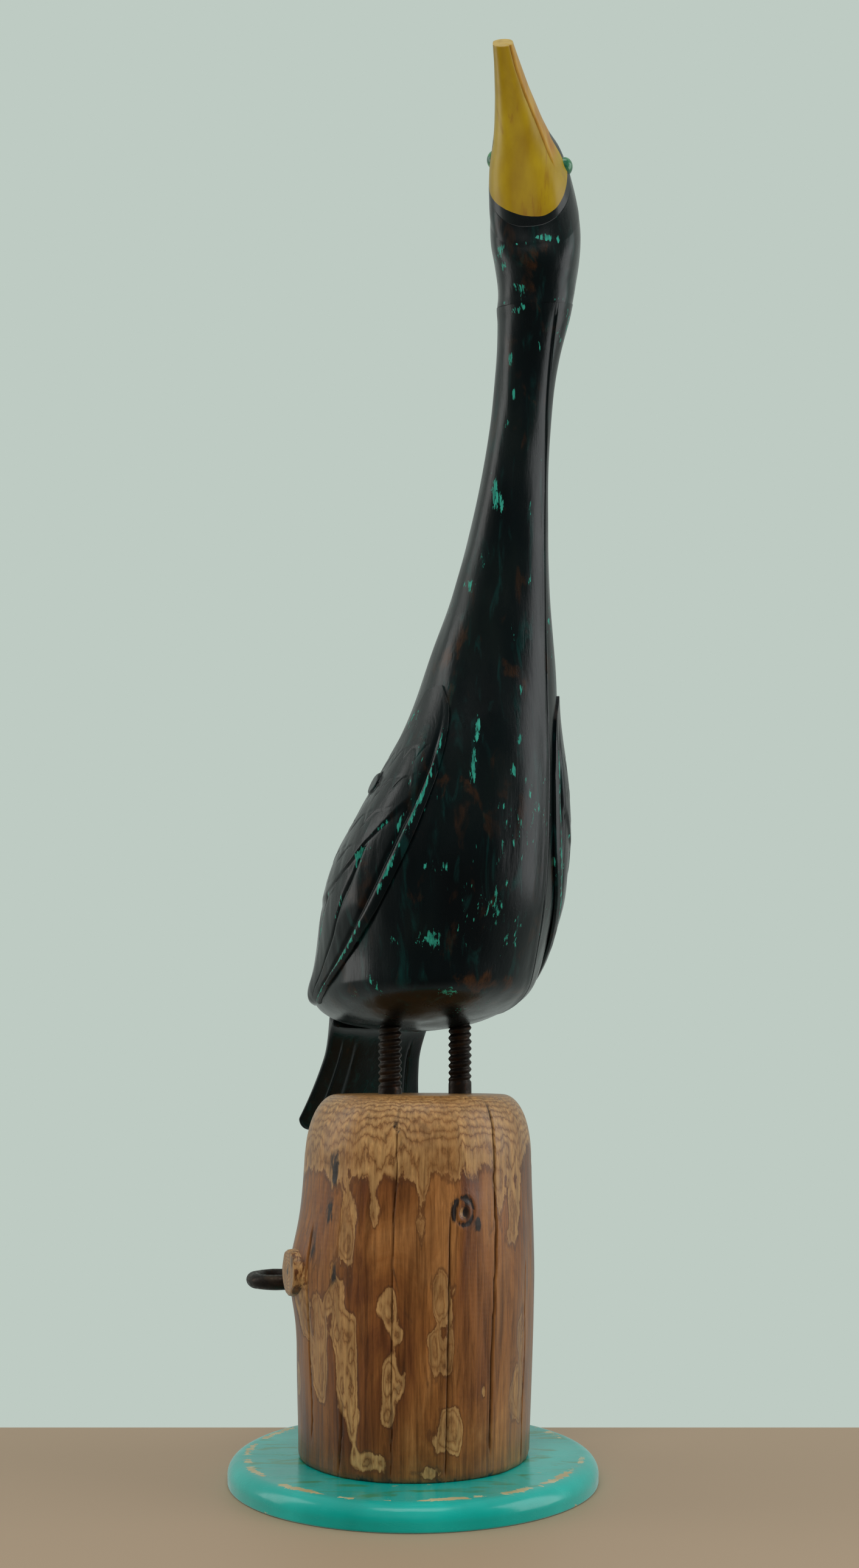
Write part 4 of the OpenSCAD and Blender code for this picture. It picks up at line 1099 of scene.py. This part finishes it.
def make_bill():
    k, a = frame_of(np.linspace(0, 1, 170), full_turn(220))
    p = head_points(BILL_TABLE, HEAD_LEN, BILL_LEN, k, a)
    n = grid_normals(p)
    # 0 at the throat, positive to the bird's left
    off = (a + math.pi) % (2 * math.pi) - math.pi
    # Mouth line: low on the cheek at the face, at the side near the tip
    line_left = np.radians(66 - 20 * step(0.0, 1.0, k) - 3 * np.sin(9 * k))
    line_right = -np.radians(96 + 10 * k)
    size = curve(BILL_TABLE, k, 3)
    gap = np.minimum(np.abs(off - line_left), np.abs(off - line_right)) * size
    reach = step(0.19, 0.30, k)
    # The groove mask cuts the mouth groove and also carries its painted shade to the material
    groove = hump(gap, 0, 0.50) * reach * (0.75 + FACE_NOISE(p, (9, 9, 9)))
    upper = step(-0.03, 0.03, off - line_left) + step(-0.03, 0.03, line_right - off)
    lip = 0.6 * upper * hump(gap, 1.8, 1.6) * reach
    relief = face_carving(p) * (1 - 0.5 * k) - 0.9 * groove + lip
    p = p + n * relief[..., None]
    # Rings over the end face
    inward = np.linspace(1, 0.06, 12)[1:, None, None]
    end = p[-1:].mean(axis=1, keepdims=True)
    p = np.concatenate([p, end + (p[-1:] - end) * inward])

    def onto_end(values, at_end):
        return np.concatenate([values, np.full((len(inward), values.shape[1]), at_end)])

    pale = onto_end(step(0.994, 1.0, k), 1.0)
    # Black paint covers the crown and a narrow border round the face
    crown = step(CROWN_FROM, CROWN_FROM + 0.12, np.abs(off)) * step(0.38, 0.30, k)
    border = step(0.060, 0.035, k + 0.012 * np.sin(3 * off))
    black = onto_end(np.maximum(border, crown), 0.0)
    return grid_object("bill_block", [to_world(p)], BILL, ["bill"],
                       {"upper": [onto_end(upper * reach, 0.0)], "tip": [pale],
                        "groove": [onto_end(groove, 0.0)], "black": [black]}, sharp=40)


make_base()
make_log()
make_leg("right_leg_threaded", "right_leg_screw", RIGHT, 4.0)
make_leg("left_leg_threaded", "left_leg_screw", LEFT, 8.5)
make_eyebolt()
make_body()
make_wing("right_wing_carved", "right_wing", RIGHT)
make_wing("left_wing_carved", "left_wing", LEFT)
make_tail()
make_head()
make_bill()


# ---------- floor and light ----------

FLOOR_Y = (-2.4, 0.167)         # metres, front and back edge
FLOOR_X = 2.4
WARM = (1.0, 0.99, 0.97)
COOL = (0.96, 0.98, 1.0)


def make_floor():
    mesh = bpy.data.meshes.new("floor")
    front, back = FLOOR_Y
    corners = [(-FLOOR_X, front, 0), (FLOOR_X, front, 0), (FLOOR_X, back, 0), (-FLOOR_X, back, 0)]
    mesh.from_pydata(corners, [], [[0, 1, 2, 3]])
    obj = placed("floor", mesh)
    look = Look("pale_floor")
    look.finish((0.50, 0.36, 0.24), 0.55)
    mesh.materials.append(look.material)
    obj.visible_glossy = False      # the varnish mirrors no studio floor


def area_light(name, place, aim_z, size, power, colour):
    """A rectangular lamp in metres and watts, aimed at a height on the object's axis."""
    data = bpy.data.lights.new(name, "AREA")
    data.shape = "RECTANGLE"
    data.size, data.size_y = size
    data.energy = power
    data.color = colour
    obj = placed(name, data)
    obj.location = place
    direction = np.array((0, 0, aim_z)) - np.array(place)
    obj.rotation_euler = Vector(direction).to_track_quat("-Z", "Y").to_euler()
    return obj


make_floor()
area_light("ceiling", (0.0, -1.0, 2.8), 0.4, (1.6, 1.0), 9, WARM)
area_light("left_window", (-2.1, 0.15, 1.3), 0.6, (0.9, 1.8), 7.5, WARM)
area_light("right_window", (2.0, -0.35, 1.1), 0.6, (1.3, 2.0), 14, COOL)
# A soft room light from the front that leaves no reflection of a lamp in the varnish
room_light = area_light("room", (-0.3, -2.2, 1.7), 0.4, (2.2, 1.8), 28, WARM)
room_light.visible_glossy = False


def make_world():
    """A pale wall for the camera; for the light, a bright wall behind and a dim room in front."""
    world = bpy.data.worlds.new("studio")
    scene.world = world
    world.use_nodes = True
    world.node_tree.nodes.clear()
    new = world.node_tree.nodes.new
    link = world.node_tree.links.new
    place = new("ShaderNodeTexCoord")
    split = new("ShaderNodeSeparateXYZ")
    link(place.outputs["Generated"], split.inputs[0])
    room = new("ShaderNodeMapRange")
    room.interpolation_type = "SMOOTHSTEP"
    limits = {"From Min": -0.80, "From Max": 0.30, "To Min": 0.06, "To Max": 0.46}
    for socket, value in limits.items():
        room.inputs[socket].default_value = value
    link(split.outputs["Y"], room.inputs["Value"])
    lit = new("ShaderNodeBackground")
    lit.inputs["Color"].default_value = (0.90, 1.0, 0.94, 1)
    link(room.outputs[0], lit.inputs["Strength"])
    seen = new("ShaderNodeBackground")
    seen.inputs["Color"].default_value = (0.515, 0.597, 0.546, 1)
    ray = new("ShaderNodeLightPath")
    mix = new("ShaderNodeMixShader")
    link(ray.outputs["Is Camera Ray"], mix.inputs[0])
    link(lit.outputs[0], mix.inputs[1])
    link(seen.outputs[0], mix.inputs[2])
    out = new("ShaderNodeOutputWorld")
    link(mix.outputs[0], out.inputs["Surface"])


make_world()
scene.view_settings.view_transform = "Standard"
